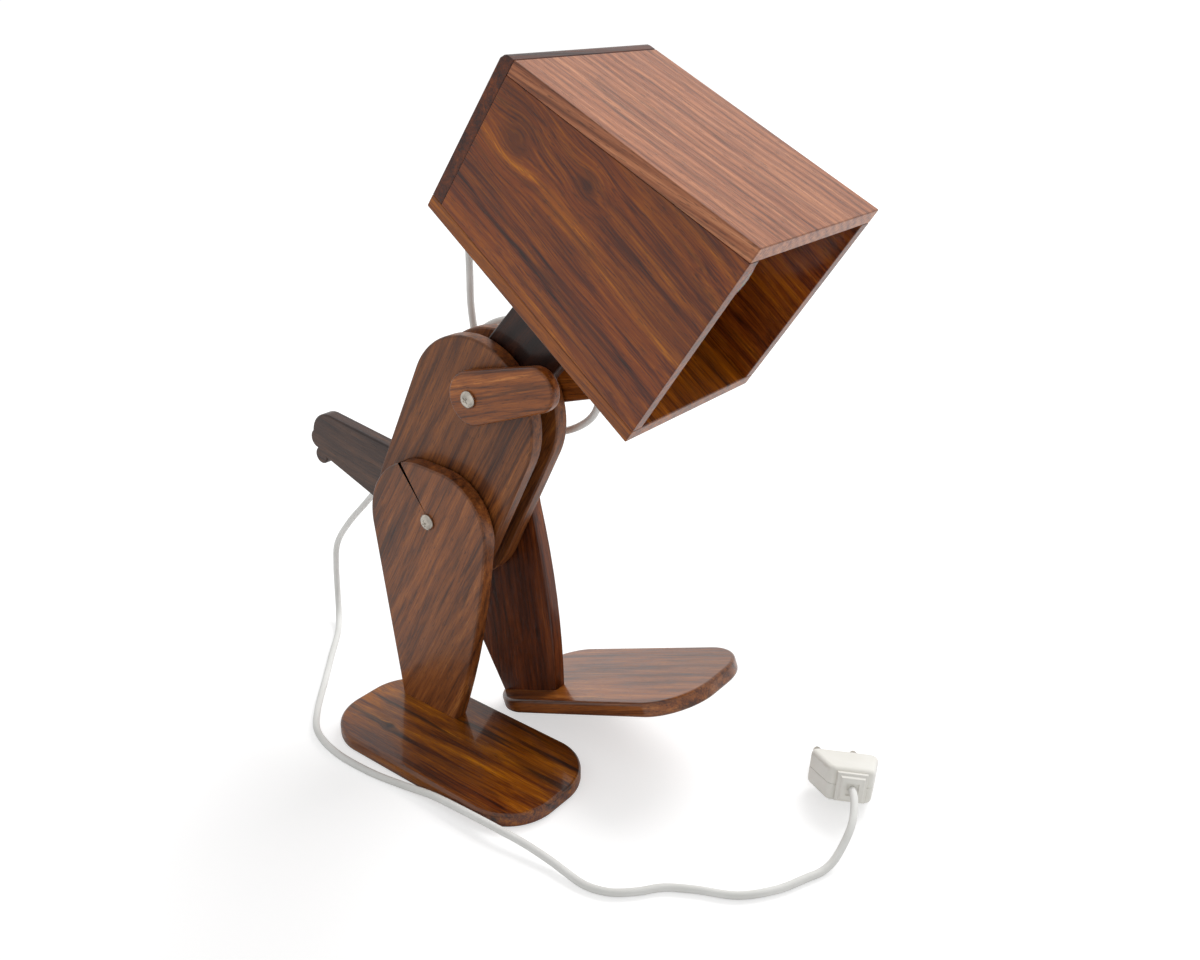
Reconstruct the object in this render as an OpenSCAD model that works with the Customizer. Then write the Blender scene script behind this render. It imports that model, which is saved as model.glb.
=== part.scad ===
// Desk lamp in the shape of a walking robot: a box-shaped shade on a neck board, flat body
// panels, swinging arms, legs, feet and tail, all pinned on two long machine screws.
// X runs forward, Y to the lamp's left and Z up. The origin is under the middle of the lamp.

/* [Boards] */
// Thickness of the body, leg, foot, neck and tail boards
board_t = 8; // [6:0.5:9]
// Thickness of the arm boards
arm_t = 6; // [4:0.5:7]
// Gap between neighbouring boards, filled by a washer
board_gap = 1; // [0.6:0.1:1.5]

/* [Pivots] */
// Distance of the hip screw behind the lamp's middle
hip_back = 43; // [40:0.5:46]
// Height of the hip screw above the floor
hip_z = 124; // [120:1:128]
// Distance of the shoulder screw in front of the hip screw
shoulder_x = 31.3; // [28:0.1:34]
// Height of the shoulder screw above the hip screw
shoulder_up = 73; // [70:0.5:76]
// Diameter of the two long machine screws
bolt_d = 5; // [4:0.5:6]
// Diameter of their pan heads
bolt_head_d = 8.8; // [8:0.1:10]
// Height of their pan heads
bolt_head_h = 2.8; // [2:0.1:3.5]
// Radial clearance round a screw that turns in a board
turn_fit = 0.05; // [0.02:0.01:0.09]
// Play on each side of a washer between two boards
washer_play = 0.05; // [0.02:0.01:0.1]
// Outer diameter of the washers
washer_d = 12; // [10:0.5:14]
// Width of the nuts across their flats
nut_af = 8; // [7:0.5:10]
// Height of the nuts
nut_h = 4; // [3:0.5:5]
// Length of thread that stands out of a nut
thread_out = 1.5; // [1:0.5:3]

/* [Body panels] */
// Radius of a panel's round top
panel_top_r = 40.3; // [39:0.1:42]
// Radius of a panel's round lower end
panel_low_r = 40.6; // [39:0.1:42]

/* [Shade] */
// Pitch of the shade's bottom, front end down
head_pitch = 37.6; // [34:0.1:41]
// Place of the shade's rear lower edge, ahead of the hip screw
head_x = 37.7; // [34:0.1:42]
// Height of the shade's rear lower edge
head_z = 292; // [286:0.5:298]
// Width of the shade
head_w = 91.5; // [84:0.5:98]
// Length of the shade's bottom
head_l = 132.6; // [126:0.1:140]
// Height of the shade's back
head_back_h = 77.2; // [72:0.1:82]
// Angle at which the top rises towards the front
head_top_rise = 10.8; // [8:0.1:13]
// Lean of the back, away from the shade
head_back_lean = 1.4; // [0:0.1:3]
// Lean of the open front, towards the back
head_front_lean = 4; // [2:0.1:6]
// Thickness of the side boards
head_side_t = 6.3; // [5:0.1:7]
// Thickness of the top board
head_top_t = 6.8; // [5:0.1:7]
// Thickness of the bottom board
head_bottom_t = 6.2; // [5:0.1:7]
// Thickness of the back board
head_back_t = 6.1; // [5:0.1:7]

/* [Neck] */
// Width of the neck board
neck_w = 37; // [32:0.5:40]
// Slope of the neck board
neck_slope = 48; // [45:0.5:51]
// Diameter of the wood screws
wood_screw_d = 3.5; // [3:0.1:4]
// Diameter of their countersunk heads
wood_screw_head_d = 7; // [6:0.1:8]
// Height of their countersunk heads
wood_screw_head_h = 2.2; // [1.8:0.1:2.6]
// Length of the wood screws
wood_screw_l = 26; // [20:1:30]

/* [Lamp holder] */
// Diameter of the holder's base
holder_base_d = 48; // [44:1:54]
// Thickness of the holder's base
holder_base_t = 7; // [5:0.5:9]
// Diameter of the holder's body
holder_d = 32; // [30:0.5:36]
// Length of the holder's body
holder_l = 22; // [18:1:23]
// Upward slant of the holder
holder_slant = 5.5; // [3:0.5:8]
// Height of the holder's axis above the shade's bottom, at the back
holder_up = 47.4; // [44:0.1:50]
// Diameter of the bulb's globe
globe_d = 60; // [58:0.5:60]
// Distance of the globe's middle from the shade's back
globe_out = 85.7; // [83:0.1:88]
// Diameter of the bulb's screw cap
cap_d = 26; // [24:0.5:26.5]
// Length of the bulb's screw cap
cap_l = 26; // [22:0.5:28]

/* [Arms] */
// Radius of an arm's end at the shoulder
arm_big_r = 13.5; // [12:0.1:15]
// Radius of an arm's free end
arm_tip_r = 10.8; // [9:0.1:12]
// Distance from the shoulder to the middle of the free end
arm_l = 43.5; // [40:0.5:47]
// Rise of the right arm at rest
arm_right_rise = 17.5; // [10:0.5:25]
// Rise of the left arm at rest
arm_left_rise = 14; // [10:0.5:25]

/* [Legs and feet] */
// Forward swing of the left leg at rest
left_swing = 22; // [15:0.5:26]
// Rear radius of a leg's top
leg_rear_r = 38.5; // [36:0.1:41]
// Front radius of a leg's top
leg_front_r = 30.8; // [29:0.1:33]
// Place of a leg's rear lower corner behind the hip
leg_heel = 28.9; // [26:0.1:32]
// Width of a leg's lower end
leg_low_w = 41.5; // [38:0.5:45]
// Bulge of a leg's front edge
leg_bulge = 3.2; // [0:0.1:5]
// Length of a foot
foot_l = 143; // [136:1:150]
// Width of a foot
foot_w = 68; // [62:1:72]
// Corner radius of a foot
foot_r = 27.5; // [22:0.5:31]
// Gap between a foot's inner edge and the lamp's middle plane
foot_gap = 1; // [0.5:0.5:3]
// Distance of the right heel behind the hip
right_heel = 45.5; // [40:0.5:50]
// Distance of the left heel behind the hip, along the swung leg
left_heel = 34; // [30:0.5:40]

/* [Tail] */
// Radius of the tail's end at the hip
tail_root_r = 24; // [20:0.5:28]
// Radius of the tail's upper tip
tail_tip_r = 13.8; // [12:0.1:16]
// Distance of the upper tip's middle behind the hip
tail_l = 96.8; // [92:0.1:102]
// Height of the upper tip's middle above the hip
tail_up = 16.8; // [12:0.1:22]

/* [Cord and plug] */
// Diameter of the cord
cord_d = 3.8; // [3.4:0.1:4.2]
// Length of the bushing where the cord leaves the shade
bushing_l = 20; // [20:1:26]
// Diameter of the bushing at the shade's back
bushing_d = 8; // [7:0.1:10]
// Width of the plug at the pins
plug_w = 34; // [30:0.5:36]
// Length of the plug's shell
plug_l = 23.5; // [21:0.5:28]
// Height of the plug
plug_h = 17.8; // [16:0.2:20]
// Turn of the plug on the floor
plug_yaw = 37; // [30:1:60]
// Dip of the plug towards the tips of its pins
plug_dip = 14; // [8:0.5:18]
// Lean of the plug onto one long edge
plug_roll = 6.5; // [2:0.5:10]
// Width of the boss round the cord
outlet_w = 15; // [12:0.5:16]
// Length of the boss
outlet_l = 4.5; // [4:0.5:8]
// Distance between the pins
pin_pitch = 19; // [18:0.1:20]
// Diameter of the pins
pin_d = 4.4; // [4:0.1:4.8]
// Length of the pins
pin_l = 19; // [18:0.5:20]

/* [Hidden] */

$fn = 96;
eps = 0.01;

// Board positions across the lamp, measured from its middle plane
panel_in = board_t / 2 + board_gap;
panel_out = panel_in + board_t;
limb_in = panel_out + board_gap;
leg_out = limb_in + board_t;
arm_out = limb_in + arm_t;

bolt_bore_r = bolt_d / 2 + turn_fit;
washer_t = board_gap - 2 * washer_play;
shoulder = [shoulder_x, shoulder_up];

// Colours of the woods and fittings
wood = [0.44, 0.26, 0.17];
dark_wood = [0.2, 0.11, 0.09];
shade_wood = [0.48, 0.25, 0.13];
nickel = [0.8, 0.79, 0.76];
white = [0.93, 0.93, 0.91];
ivory = [0.93, 0.92, 0.87];

// --- plane geometry ---------------------------------------------------------------------

// Point where line p + s*d meets line q + t*e
function meet(p, d, q, e) = let (w = q - p, k = (w.x * e.y - w.y * e.x) / (d.x * e.y - d.y * e.x)) p + k * d;

// Unit vector at an angle
function unit(angle) = [cos(angle), sin(angle)];

// The two ends of the line that runs along the right of circles a and b, a hair inside them
function touch(a, b) =
    let (
        d = [b.x - a.x, b.y - a.y],
        l = norm(d),
        u = d / l,
        s = (a[2] - b[2]) / l,
        n = u * s + [u.y, -u.x] * sqrt(1 - s * s)
    )
    [[a.x, a.y] + max(a[2] - eps, 0) * n, [b.x, b.y] + max(b[2] - eps, 0) * n];

// Outline drawn tightly round circles [x, y, r] that are listed counter-clockwise
module round_outline(c) {
    polygon([for (i = [0 : len(c) - 1]) each touch(c[i], c[(i + 1) % len(c)])]);
    for (k = c)
        if (k[2] > 0)
            translate([k.x, k.y])
                circle(r = k[2]);
}

// A board that stands in the XZ plane, from y0 to y0 + t, with its outline as child
module board(y0, t) {
    translate([0, y0 + t, 0])
        rotate([90, 0, 0])
            linear_extrude(t)
                children();
}

// Things placed from the hip screw, or from the shoulder screw
module at_hip() {
    translate([-hip_back, 0, hip_z])
        children();
}

module at_shoulder() {
    at_hip()
        translate([shoulder_x, 0, shoulder_up])
            children();
}

// A disc or ring on a bolt's axis, from y0 to y0 + t
module ring(y0, t, r, bore = 0) {
    board(y0, t)
        difference() {
            circle(r = r);
            if (bore > 0)
                circle(r = bore);
        }
}

// --- body -------------------------------------------------------------------------------

// Middles of the round ends of a body panel, seen from the hip
panel_top = [24.3, 60.5];
panel_low = [-6.7, -1.3];

module body_panel(y0) {
    color(wood)
        at_hip()
            board(y0, board_t)
                difference() {
                    round_outline([[panel_top.x, panel_top.y, panel_top_r], [panel_low.x, panel_low.y, panel_low_r]]);
                    circle(r = bolt_bore_r);
                    translate(shoulder)
                        circle(r = bolt_bore_r);
                }
}

module right_body_panel() { body_panel(-panel_out); }
module left_body_panel() { body_panel(panel_in); }

// Cross recess of a pan head, and the radius of its dome
recess_w = 1.2;
recess_l = 5.1;
recess_turn = 20;
dome_r = 6.6;

// A machine screw whose head bears at y = -out and whose nut bears on a washer at y = out
module machine_screw(out) {
    grip = out + washer_play;
    tip = grip + board_gap + nut_h + thread_out;
    color(nickel) {
        ring(-grip, grip + tip, bolt_d / 2);
        translate([0, -grip, 0])
            rotate([90, 0, 0])
                difference() {
                    intersection() {
                        cylinder(d = bolt_head_d, h = bolt_head_h);
                        translate([0, 0, bolt_head_h - dome_r])
                            sphere(r = dome_r);
                    }
                    for (turn = [recess_turn, recess_turn + 90])
                        rotate([0, 0, turn])
                            translate([-recess_l / 2, -recess_w / 2, bolt_head_h / 2])
                                cube([recess_l, recess_w, bolt_head_h]);
                }
    }
}

module shoulder_bolt() { at_shoulder() machine_screw(arm_out); }
module hip_bolt() { at_hip() machine_screw(leg_out); }

// A nut that bears on the washer outside y = out
module nut(out) {
    color(nickel)
        board(out + washer_play + board_gap, nut_h)
            difference() {
                circle(d = nut_af / cos(30), $fn = 6);
                circle(r = bolt_bore_r);
            }
}

module bolt_nuts() {
    at_shoulder() nut(arm_out);
    at_hip() nut(leg_out);
}

// The washers on one screw: between the boards, and one under the nut
module washer_set(out) {
    color(nickel) {
        for (y = [-limb_in, -panel_in, board_t / 2, panel_out])
            ring(y + washer_play, washer_t, washer_d / 2, bolt_bore_r);
        ring(out + washer_play, board_gap, washer_d / 2, bolt_bore_r);
    }
}

module washers() {
    at_shoulder() washer_set(arm_out);
    at_hip() washer_set(leg_out);
}

// --- shade ------------------------------------------------------------------------------

// The shade's own frame: X along its bottom towards the open front, Z square to the bottom
module in_shade() {
    translate([head_x - hip_back, 0, head_z])
        rotate([0, head_pitch, 0])
            children();
}

along = [1, 0];
back_way = unit(90 + head_back_lean);
front_way = unit(90 + head_front_lean);
top_way = unit(head_top_rise);
low_rear = [0, 0];
low_front = [head_l, 0];
low_in = [0, head_bottom_t];
back_in = [head_back_t / cos(head_back_lean), 0];
top_rear = head_back_h * back_way;
top_in = top_rear - [0, head_top_t / cos(head_top_rise)];
top_front = meet(top_rear, top_way, low_front, front_way);
inner_low_rear = meet(low_in, along, back_in, back_way);
inner_low_front = meet(low_in, along, low_front, front_way);
inner_top_rear = meet(top_in, top_way, back_in, back_way);
inner_top_front = meet(top_in, top_way, low_front, front_way);
outer_low_rear = meet(low_in, along, low_rear, back_way);
outer_top_rear = meet(top_rear, top_way, back_in, back_way);

// Places of the neck's two screws along the shade's bottom
neck_screw_at = [50, 67];
// Place of the cord's hole in the back, up the back and across
cord_hole_up = 14;
cord_hole_y = 14;
// Room round the cord in that hole
cord_play = 0.3;
hole_r = cord_d / 2 + cord_play;
screw_r = wood_screw_d / 2;
screw_head_r = wood_screw_head_d / 2;

module shade_board(points, y0, t) {
    color(shade_wood)
        board(y0, t)
            polygon(points);
}

// A wood screw with its head's flat top at the origin, driven down
module wood_screw(play = 0) {
    translate([0, 0, -wood_screw_l])
        cylinder(r = screw_r + play, h = wood_screw_l - wood_screw_head_h + eps);
    translate([0, 0, -wood_screw_head_h])
        cylinder(r1 = screw_r + play, r2 = screw_head_r + play, h = wood_screw_head_h);
}

module shade_top_board() {
    in_shade()
        shade_board([inner_top_rear, inner_top_front, top_front, outer_top_rear], -head_w / 2, head_w);
}

module shade_bottom_board() {
    in_shade()
        difference() {
            shade_board([low_rear, low_front, inner_low_front, outer_low_rear], -head_w / 2, head_w);
            neck_screw_places()
                wood_screw(turn_fit);
        }
}

module shade_back_board() {
    in_shade()
        difference() {
            shade_board([outer_low_rear, inner_low_rear, outer_top_rear, top_rear], -head_w / 2, head_w);
            in_cord_hole()
                translate([0, 0, -head_back_t - 1])
                    cylinder(r = hole_r, h = head_back_t + 2);
            in_holder()
                holder_screw_places()
                    holder_screw(turn_fit);
        }
}

module shade_right_board() {
    in_shade()
        shade_board([inner_low_rear, inner_low_front, inner_top_front, inner_top_rear], -head_w / 2, head_side_t);
}

module shade_left_board() {
    in_shade()
        shade_board([inner_low_rear, inner_low_front, inner_top_front, inner_top_rear],
            head_w / 2 - head_side_t, head_side_t);
}

module neck_screw_places() {
    for (x = neck_screw_at)
        translate([x, 0, head_bottom_t])
            children();
}

module neck_screws() {
    color(nickel)
        in_shade()
            neck_screw_places()
                wood_screw();
}

// --- neck -------------------------------------------------------------------------------

// The shade's lower face as a line seen from the shoulder screw
under_at = [head_x - shoulder_x, head_z - hip_z - shoulder_up];
under_way = unit(-head_pitch);
below_shade = -unit(90 - head_pitch);
neck_way = unit(neck_slope);
// Longer than any board, for cutting a board off along a line
reach = 200;

module neck_outline() {
    neck_r = neck_w / 2;
    far = reach * neck_way;
    intersection() {
        round_outline([[0, 0, neck_r], [far.x, far.y, neck_r]]);
        polygon([
            under_at + reach * under_way,
            under_at - reach * under_way,
            under_at - reach * under_way + reach * below_shade,
            under_at + reach * under_way + reach * below_shade
        ]);
    }
}

module neck_board() {
    color(dark_wood)
        difference() {
            at_shoulder()
                board(-board_t / 2, board_t)
                    difference() {
                        neck_outline();
                        circle(r = bolt_bore_r);
                    }
            in_shade()
                neck_screw_places()
                    wood_screw(turn_fit);
        }
}

// --- lamp holder and bulb ---------------------------------------------------------------

// The holder's frame: Z along the holder, from the back board's inner face
module in_holder() {
    translate([back_in.x - holder_up * tan(head_back_lean), 0, holder_up])
        rotate([0, 90 - holder_slant, 0])
            children();
}

holder_screw_y = 19;
// Room round the bulb's cap in the holder's body and in its base
body_play = 0.4;
base_play = 1.5;
// Distance from the bulb's cap to its ball
bulb_neck_l = 20.4;
globe_at = (globe_out - back_in.x) / cos(holder_slant);
cap_at = globe_at - globe_d / 2 - bulb_neck_l - cap_l;

// Everything in front of the back board's inner face, in the shade's frame
module before_back() {
    board(-head_w, 2 * head_w)
        polygon([
            back_in - reach * back_way,
            back_in - reach * back_way + reach * along,
            back_in + reach * back_way + reach * along,
            back_in + reach * back_way
        ]);
}

module holder_screw_places() {
    for (y = [-holder_screw_y, holder_screw_y])
        translate([0, y, holder_base_t])
            children();
}

holder_screw_l = 11;
holder_screw_r = 1.5;
holder_screw_head_r = 2.8;
holder_screw_head_h = 1.6;

module holder_screw(play = 0) {
    translate([0, 0, -holder_screw_l])
        cylinder(r = holder_screw_r + play, h = holder_screw_l + eps);
    cylinder(r = holder_screw_head_r + play, h = holder_screw_head_h);
}

module holder_screws() {
    color(nickel)
        in_shade()
            in_holder()
                holder_screw_places()
                    holder_screw();
}

module lamp_holder_base() {
    color(white)
        in_shade()
            intersection() {
                in_holder()
                    difference() {
                        translate([0, 0, -holder_base_t])
                            cylinder(d = holder_base_d, h = 2 * holder_base_t);
                        translate([0, 0, -holder_base_t - 1])
                            cylinder(r = cap_d / 2 + base_play, h = 2 * holder_base_t + 2);
                        holder_screw_places()
                            holder_screw(turn_fit);
                    }
                before_back();
            }
}

module lamp_holder_body() {
    color(white)
        in_shade()
            in_holder()
                translate([0, 0, holder_base_t])
                    difference() {
                        cylinder(d = holder_d, h = holder_l);
                        translate([0, 0, -1])
                            cylinder(r = cap_d / 2 + body_play, h = holder_l + 2);
                    }
}

module bulb_cap() {
    color(nickel)
        in_shade()
            in_holder()
                translate([0, 0, cap_at])
                    cylinder(d = cap_d, h = cap_l);
}

// The globe is a ball with a tapered neck that meets the cap
module bulb_globe() {
    neck_from = cap_at + cap_l;
    neck_r = cap_d / 2;
    ball_way = globe_at - neck_from;
    ball_r = globe_d / 2;
    lean = asin((ball_r - neck_r) / ball_way);
    color(white)
        in_shade()
            in_holder() {
                translate([0, 0, globe_at])
                    sphere(r = ball_r);
                translate([0, 0, neck_from])
                    cylinder(r1 = neck_r, r2 = ball_r * cos(lean), h = ball_way - ball_r * sin(lean));
            }
}

// The cord's hole: Z points out of the shade's back
module in_cord_hole() {
    translate([cord_hole_up * back_way.x, cord_hole_y, cord_hole_up * back_way.y])
        rotate([0, -90 - head_back_lean, 0])
            children();
}

module cord_bushing() {
    flange_t = 1.6;
    flange_rim = 1.5;
    tip_wall = 1.1;
    color(white)
        in_shade()
            in_cord_hole()
                difference() {
                    union() {
                        cylinder(d = bushing_d + 2 * flange_rim, h = flange_t);
                        cylinder(d1 = bushing_d, d2 = cord_d + 2 * tip_wall, h = bushing_l);
                    }
                    translate([0, 0, -1])
                        cylinder(r = cord_d / 2 + turn_fit, h = bushing_l - 1);
                }
}

// --- limbs ------------------------------------------------------------------------------

module arm(y0, rise) {
    color(wood)
        at_shoulder()
            rotate([0, -rise, 0])
                board(y0, arm_t)
                    difference() {
                        round_outline([[0, 0, arm_big_r], [arm_l, 0, arm_tip_r]]);
                        circle(r = bolt_bore_r);
                    }
}

module right_arm() { arm(-arm_out, arm_right_rise); }
module left_arm() { arm(limb_in, arm_left_rise); }

// Length of the left leg to the floor: its heel touches the floor at rest
left_drop = (hip_z - left_heel * sin(left_swing)) / cos(left_swing);

// Points of a leg's front edge, bulging between its lower corner and the round top
edge_steps = 8;
function front_edge(from, to) =
    let (side = [(to - from).y, -(to - from).x] / norm(to - from))
    [for (k = [0 : edge_steps])
        let (t = k / edge_steps)
        from + t * (to - from) + 4 * t * (1 - t) * leg_bulge * side];

module leg_outline(low) {
    rear_top = [-5, -8, leg_rear_r];
    front_top = [9, -1, leg_front_r];
    heel_corner = [-leg_heel, low, 0];
    toe_corner = [leg_low_w - leg_heel, low, 0];
    front_touch = touch(toe_corner, front_top)[1];
    polygon(concat(
        [[heel_corner.x, low]],
        front_edge([toe_corner.x, low], front_touch),
        touch(front_top, rear_top),
        touch(rear_top, heel_corner)
    ));
    for (k = [front_top, rear_top])
        translate([k.x, k.y])
            circle(r = k[2]);
}

module leg(y0, low) {
    color(wood)
        board(y0, board_t)
            difference() {
                leg_outline(low);
                circle(r = bolt_bore_r);
            }
}

module foot(y_side, low, heel) {
    inner = foot_gap + foot_r;
    outer = foot_gap + foot_w - foot_r;
    rear = -heel + foot_r;
    front = -heel + foot_l - foot_r;
    lo = y_side > 0 ? inner : -outer;
    hi = y_side > 0 ? outer : -inner;
    color(wood)
        translate([0, 0, low - board_t])
            linear_extrude(board_t)
                round_outline([[rear, lo, foot_r], [front, lo, foot_r], [front, hi, foot_r], [rear, hi, foot_r]]);
}

// Screws that go up through a foot into the leg's end
foot_screw_at = [-19, 3];

module foot_screw_places(y_side, low) {
    for (x = foot_screw_at)
        translate([x, y_side * (limb_in + board_t / 2), low - board_t])
            rotate([180, 0, 0])
                children();
}

module at_left_leg() {
    at_hip()
        rotate([0, -left_swing, 0])
            children();
}

right_low = -hip_z + board_t;
left_low = -left_drop + board_t;

module right_leg() {
    at_hip()
        difference() {
            leg(-leg_out, right_low);
            foot_screw_places(-1, right_low)
                wood_screw(turn_fit);
        }
}

module left_leg() {
    at_left_leg()
        difference() {
            leg(limb_in, left_low);
            foot_screw_places(1, left_low)
                wood_screw(turn_fit);
        }
}

module right_foot() {
    at_hip()
        difference() {
            foot(-1, right_low, right_heel);
            foot_screw_places(-1, right_low)
                wood_screw(turn_fit);
        }
}

module left_foot() {
    at_left_leg()
        difference() {
            foot(1, left_low, left_heel);
            foot_screw_places(1, left_low)
                wood_screw(turn_fit);
        }
}

module right_foot_screws() {
    color(nickel)
        at_hip()
            foot_screw_places(-1, right_low)
                wood_screw();
}

module left_foot_screws() {
    color(nickel)
        at_left_leg()
            foot_screw_places(1, left_low)
                wood_screw();
}

// --- tail -------------------------------------------------------------------------------

// Middles of the scallops under the tail's upper tip, seen from the hip, with their radii
scallops = [[-107, 13.7, 5.8], [-105, 4, 5]];
// Filling between the tail and the scallops
tail_web = [[-80, 4], [-105, 4], [-107, 13.7], [-90, 20]];

module tail_board() {
    color(dark_wood)
        at_hip()
            board(-board_t / 2, board_t)
                difference() {
                    union() {
                        round_outline([[-2, -6, tail_root_r], [-tail_l, tail_up, tail_tip_r]]);
                        for (s = scallops)
                            translate([s.x, s.y])
                                circle(r = s[2]);
                        polygon(tail_web);
                    }
                    circle(r = bolt_bore_r);
                }
}

// --- cord -------------------------------------------------------------------------------

// Where the bushing's tip and the boss's tip lie in the lamp's frame
tip_local = [cord_hole_up * back_way.x, cord_hole_up * back_way.y] - bushing_l * unit(head_back_lean);
bushing_tip = [
    head_x - hip_back + tip_local.x * cos(head_pitch) + tip_local.y * sin(head_pitch),
    cord_hole_y,
    head_z - tip_local.x * sin(head_pitch) + tip_local.y * cos(head_pitch)
];
// Middle of the plug's face on the cord's side, seen from above
plug_at = [169, 50.6];
plug_corner_r = 4;
// Its height, with the plug resting on a round lower corner beside a pin
plug_up = (plug_l - plug_corner_r) * sin(plug_dip)
    + ((plug_w / 2 - plug_corner_r) * sin(plug_roll) + plug_h / 2 * cos(plug_roll)) * cos(plug_dip)
    + plug_corner_r * norm([sin(plug_dip), sin(plug_roll) * cos(plug_dip)]);
// Direction in which the cord enters the boss
plug_in = [-sin(plug_yaw) * cos(plug_dip), cos(plug_yaw) * cos(plug_dip), -sin(plug_dip)];
outlet_tip = [plug_at.x, plug_at.y, plug_up] - outlet_l * plug_in;

// The cord's route. It leaves the bushing, falls behind the shade, winds once round the left
// arm's screw outside the arm, drops behind the left leg and crosses the floor to the plug.
// The first and last points follow the bushing's tip and the plug's boss.
route = [
    bushing_tip,
    [-25.5, 14, 319],
    [-37.5, 15, 314.5],
    [-45, 17, 302.5],
    [-46.5, 19.5, 284],
    [-48.5, 22, 264],
    [-50.5, 24, 244],
    [-51.5, 25, 225],
    [-48, 25, 206],
    [-39, 25, 189],
    [-24, 25, 175],
    [-5, 24.5, 170],
    [13, 24, 174],
    [28, 24, 184.5],
    [32.5, 24.5, 198],
    [27.5, 25.5, 211],
    [13, 27, 220],
    [-10, 28, 223.5],
    [-30, 29, 222],
    [-47, 29, 214],
    [-62, 29, 198],
    [-80, 28, 172],
    [-99, 27, 142],
    [-144, 26, 92],
    [-166, 26, 69],
    [-180, 26, 50],
    [-183, 25.5, 33],
    [-181, 23, 17],
    [-173, 16, 5.5],
    [-160, 4, 2.2],
    [-143, -15, 2.2],
    [-124, -36, 2],
    [-104, -58, 2],
    [-88, -71, 2],
    [-66, -77, 2],
    [-40, -77, 2],
    [-18, -74, 2.4],
    [2, -72, 4.4],
    [24, -71.8, 5.8],
    [44, -71.4, 6.2],
    [62, -70.2, 5.2],
    [78, -70, 3.6],
    [86, -70.6, 3],
    [99, -71, 2],
    [110.5, -67.5, 2],
    [120, -59.5, 2],
    [128, -50, 2],
    [140.5, -42, 2],
    [157, -33.5, 2],
    [169, -19.5, 2],
    [176, -5, 2.1],
    [180, 4.5, 2.3],
    [182, 14, 6],
    [181, 29, 14.5],
    outlet_tip
];
// The cord above this point bends with the neck
split = 10;
ring_step = 17;
cord_sides = 8;
// A direction that the cord's ends never run along
side_hint = [0, 1, 0.3];

// Direction in which the cord leaves the bushing
bushing_out = [-cos(head_pitch - head_back_lean), 0, sin(head_pitch - head_back_lean)];

function slope(i) =
    i == 0 ? bushing_out * norm(route[1] - route[0])
    : i == len(route) - 1 ? plug_in * norm(route[i] - route[i - 1])
    : (route[i + 1] - route[i - 1]) / 2;

// Smooth curve through the route: place and direction at part t of span i
function spot(i, t) =
    let (a = route[i], b = route[i + 1], m = slope(i), n = slope(i + 1))
    (2 * t ^ 3 - 3 * t ^ 2 + 1) * a + (t ^ 3 - 2 * t ^ 2 + t) * m
    + (3 * t ^ 2 - 2 * t ^ 3) * b + (t ^ 3 - t ^ 2) * n;

function heading(i, t) =
    let (a = route[i], b = route[i + 1], m = slope(i), n = slope(i + 1),
        v = (6 * t ^ 2 - 6 * t) * (a - b) + (3 * t ^ 2 - 4 * t + 1) * m + (3 * t ^ 2 - 2 * t) * n)
    v / norm(v);

function span_rings(i) = max(1, round(norm(route[i + 1] - route[i]) / ring_step));

module cord_part(from, to) {
    stops = [
        for (i = [from : to - 1])
            let (n = span_rings(i))
            for (k = [0 : n - 1])
                [i, k / n],
        [to - 1, 1]
    ];
    count = len(stops);
    centres = [for (s = stops) spot(s[0], s[1])];
    ways = [for (s = stops) heading(s[0], s[1])];
    first = let (c = cross(ways[0], side_hint)) c / norm(c);
    sides = [
        for (i = 0, n = first; i < count;
            i = i + 1,
            n = i < count ? let (p = n - (n * ways[i]) * ways[i]) p / norm(p) : n)
            n
    ];
    rings = [
        for (i = [0 : count - 1])
            for (k = [0 : cord_sides - 1])
                let (turn = 360 * k / cord_sides)
                centres[i] + cord_d / 2 * (cos(turn) * sides[i] + sin(turn) * cross(ways[i], sides[i]))
    ];
    walls = [
        for (i = [0 : count - 2])
            for (k = [0 : cord_sides - 1])
                let (a = i * cord_sides + k, b = i * cord_sides + (k + 1) % cord_sides)
                each [[a, b + cord_sides, b], [a, a + cord_sides, b + cord_sides]]
    ];
    color(white)
        polyhedron(
            rings,
            concat(
                [[for (k = [0 : cord_sides - 1]) k]],
                walls,
                [[for (k = [cord_sides - 1 : -1 : 0]) (count - 1) * cord_sides + k]]
            )
        );
}

module cord_upper() { cord_part(0, split); }
module cord_main() { cord_part(split, len(route) - 1); }

// --- plug -------------------------------------------------------------------------------

// The plug's frame: Y from the cord's side towards the pins, Z square to the seam
module in_plug() {
    translate([plug_at.x, plug_at.y, plug_up])
        rotate([0, 0, plug_yaw])
            rotate([-plug_dip, 0, 0])
                rotate([0, plug_roll, 0])
                    children();
}

// How much further each side stands out at the pins than at the cord
plug_flare = 5;

module plug_shell(z0) {
    near = plug_w / 2 - plug_corner_r - plug_flare;
    far = plug_w / 2 - plug_corner_r;
    color(ivory)
        in_plug()
            translate([0, 0, z0])
                linear_extrude(plug_h / 2)
                    round_outline([
                        [-near, plug_corner_r, plug_corner_r],
                        [near, plug_corner_r, plug_corner_r],
                        [far, plug_l - plug_corner_r, plug_corner_r],
                        [-far, plug_l - plug_corner_r, plug_corner_r]
                    ]);
}

module plug_lower_shell() { plug_shell(-plug_h / 2); }
module plug_upper_shell() { plug_shell(0); }

module plug_outlet() {
    color(ivory)
        in_plug()
            rotate([90, 0, 0])
                linear_extrude(outlet_l)
                    square(outlet_w, center = true);
}

module plug_pins() {
    color(nickel)
        in_plug()
            for (x = [-pin_pitch / 2, pin_pitch / 2])
                translate([x, plug_l, 0])
                    rotate([-90, 0, 0])
                        cylinder(d = pin_d, h = pin_l);
}

// --- drawing ----------------------------------------------------------------------------

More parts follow.
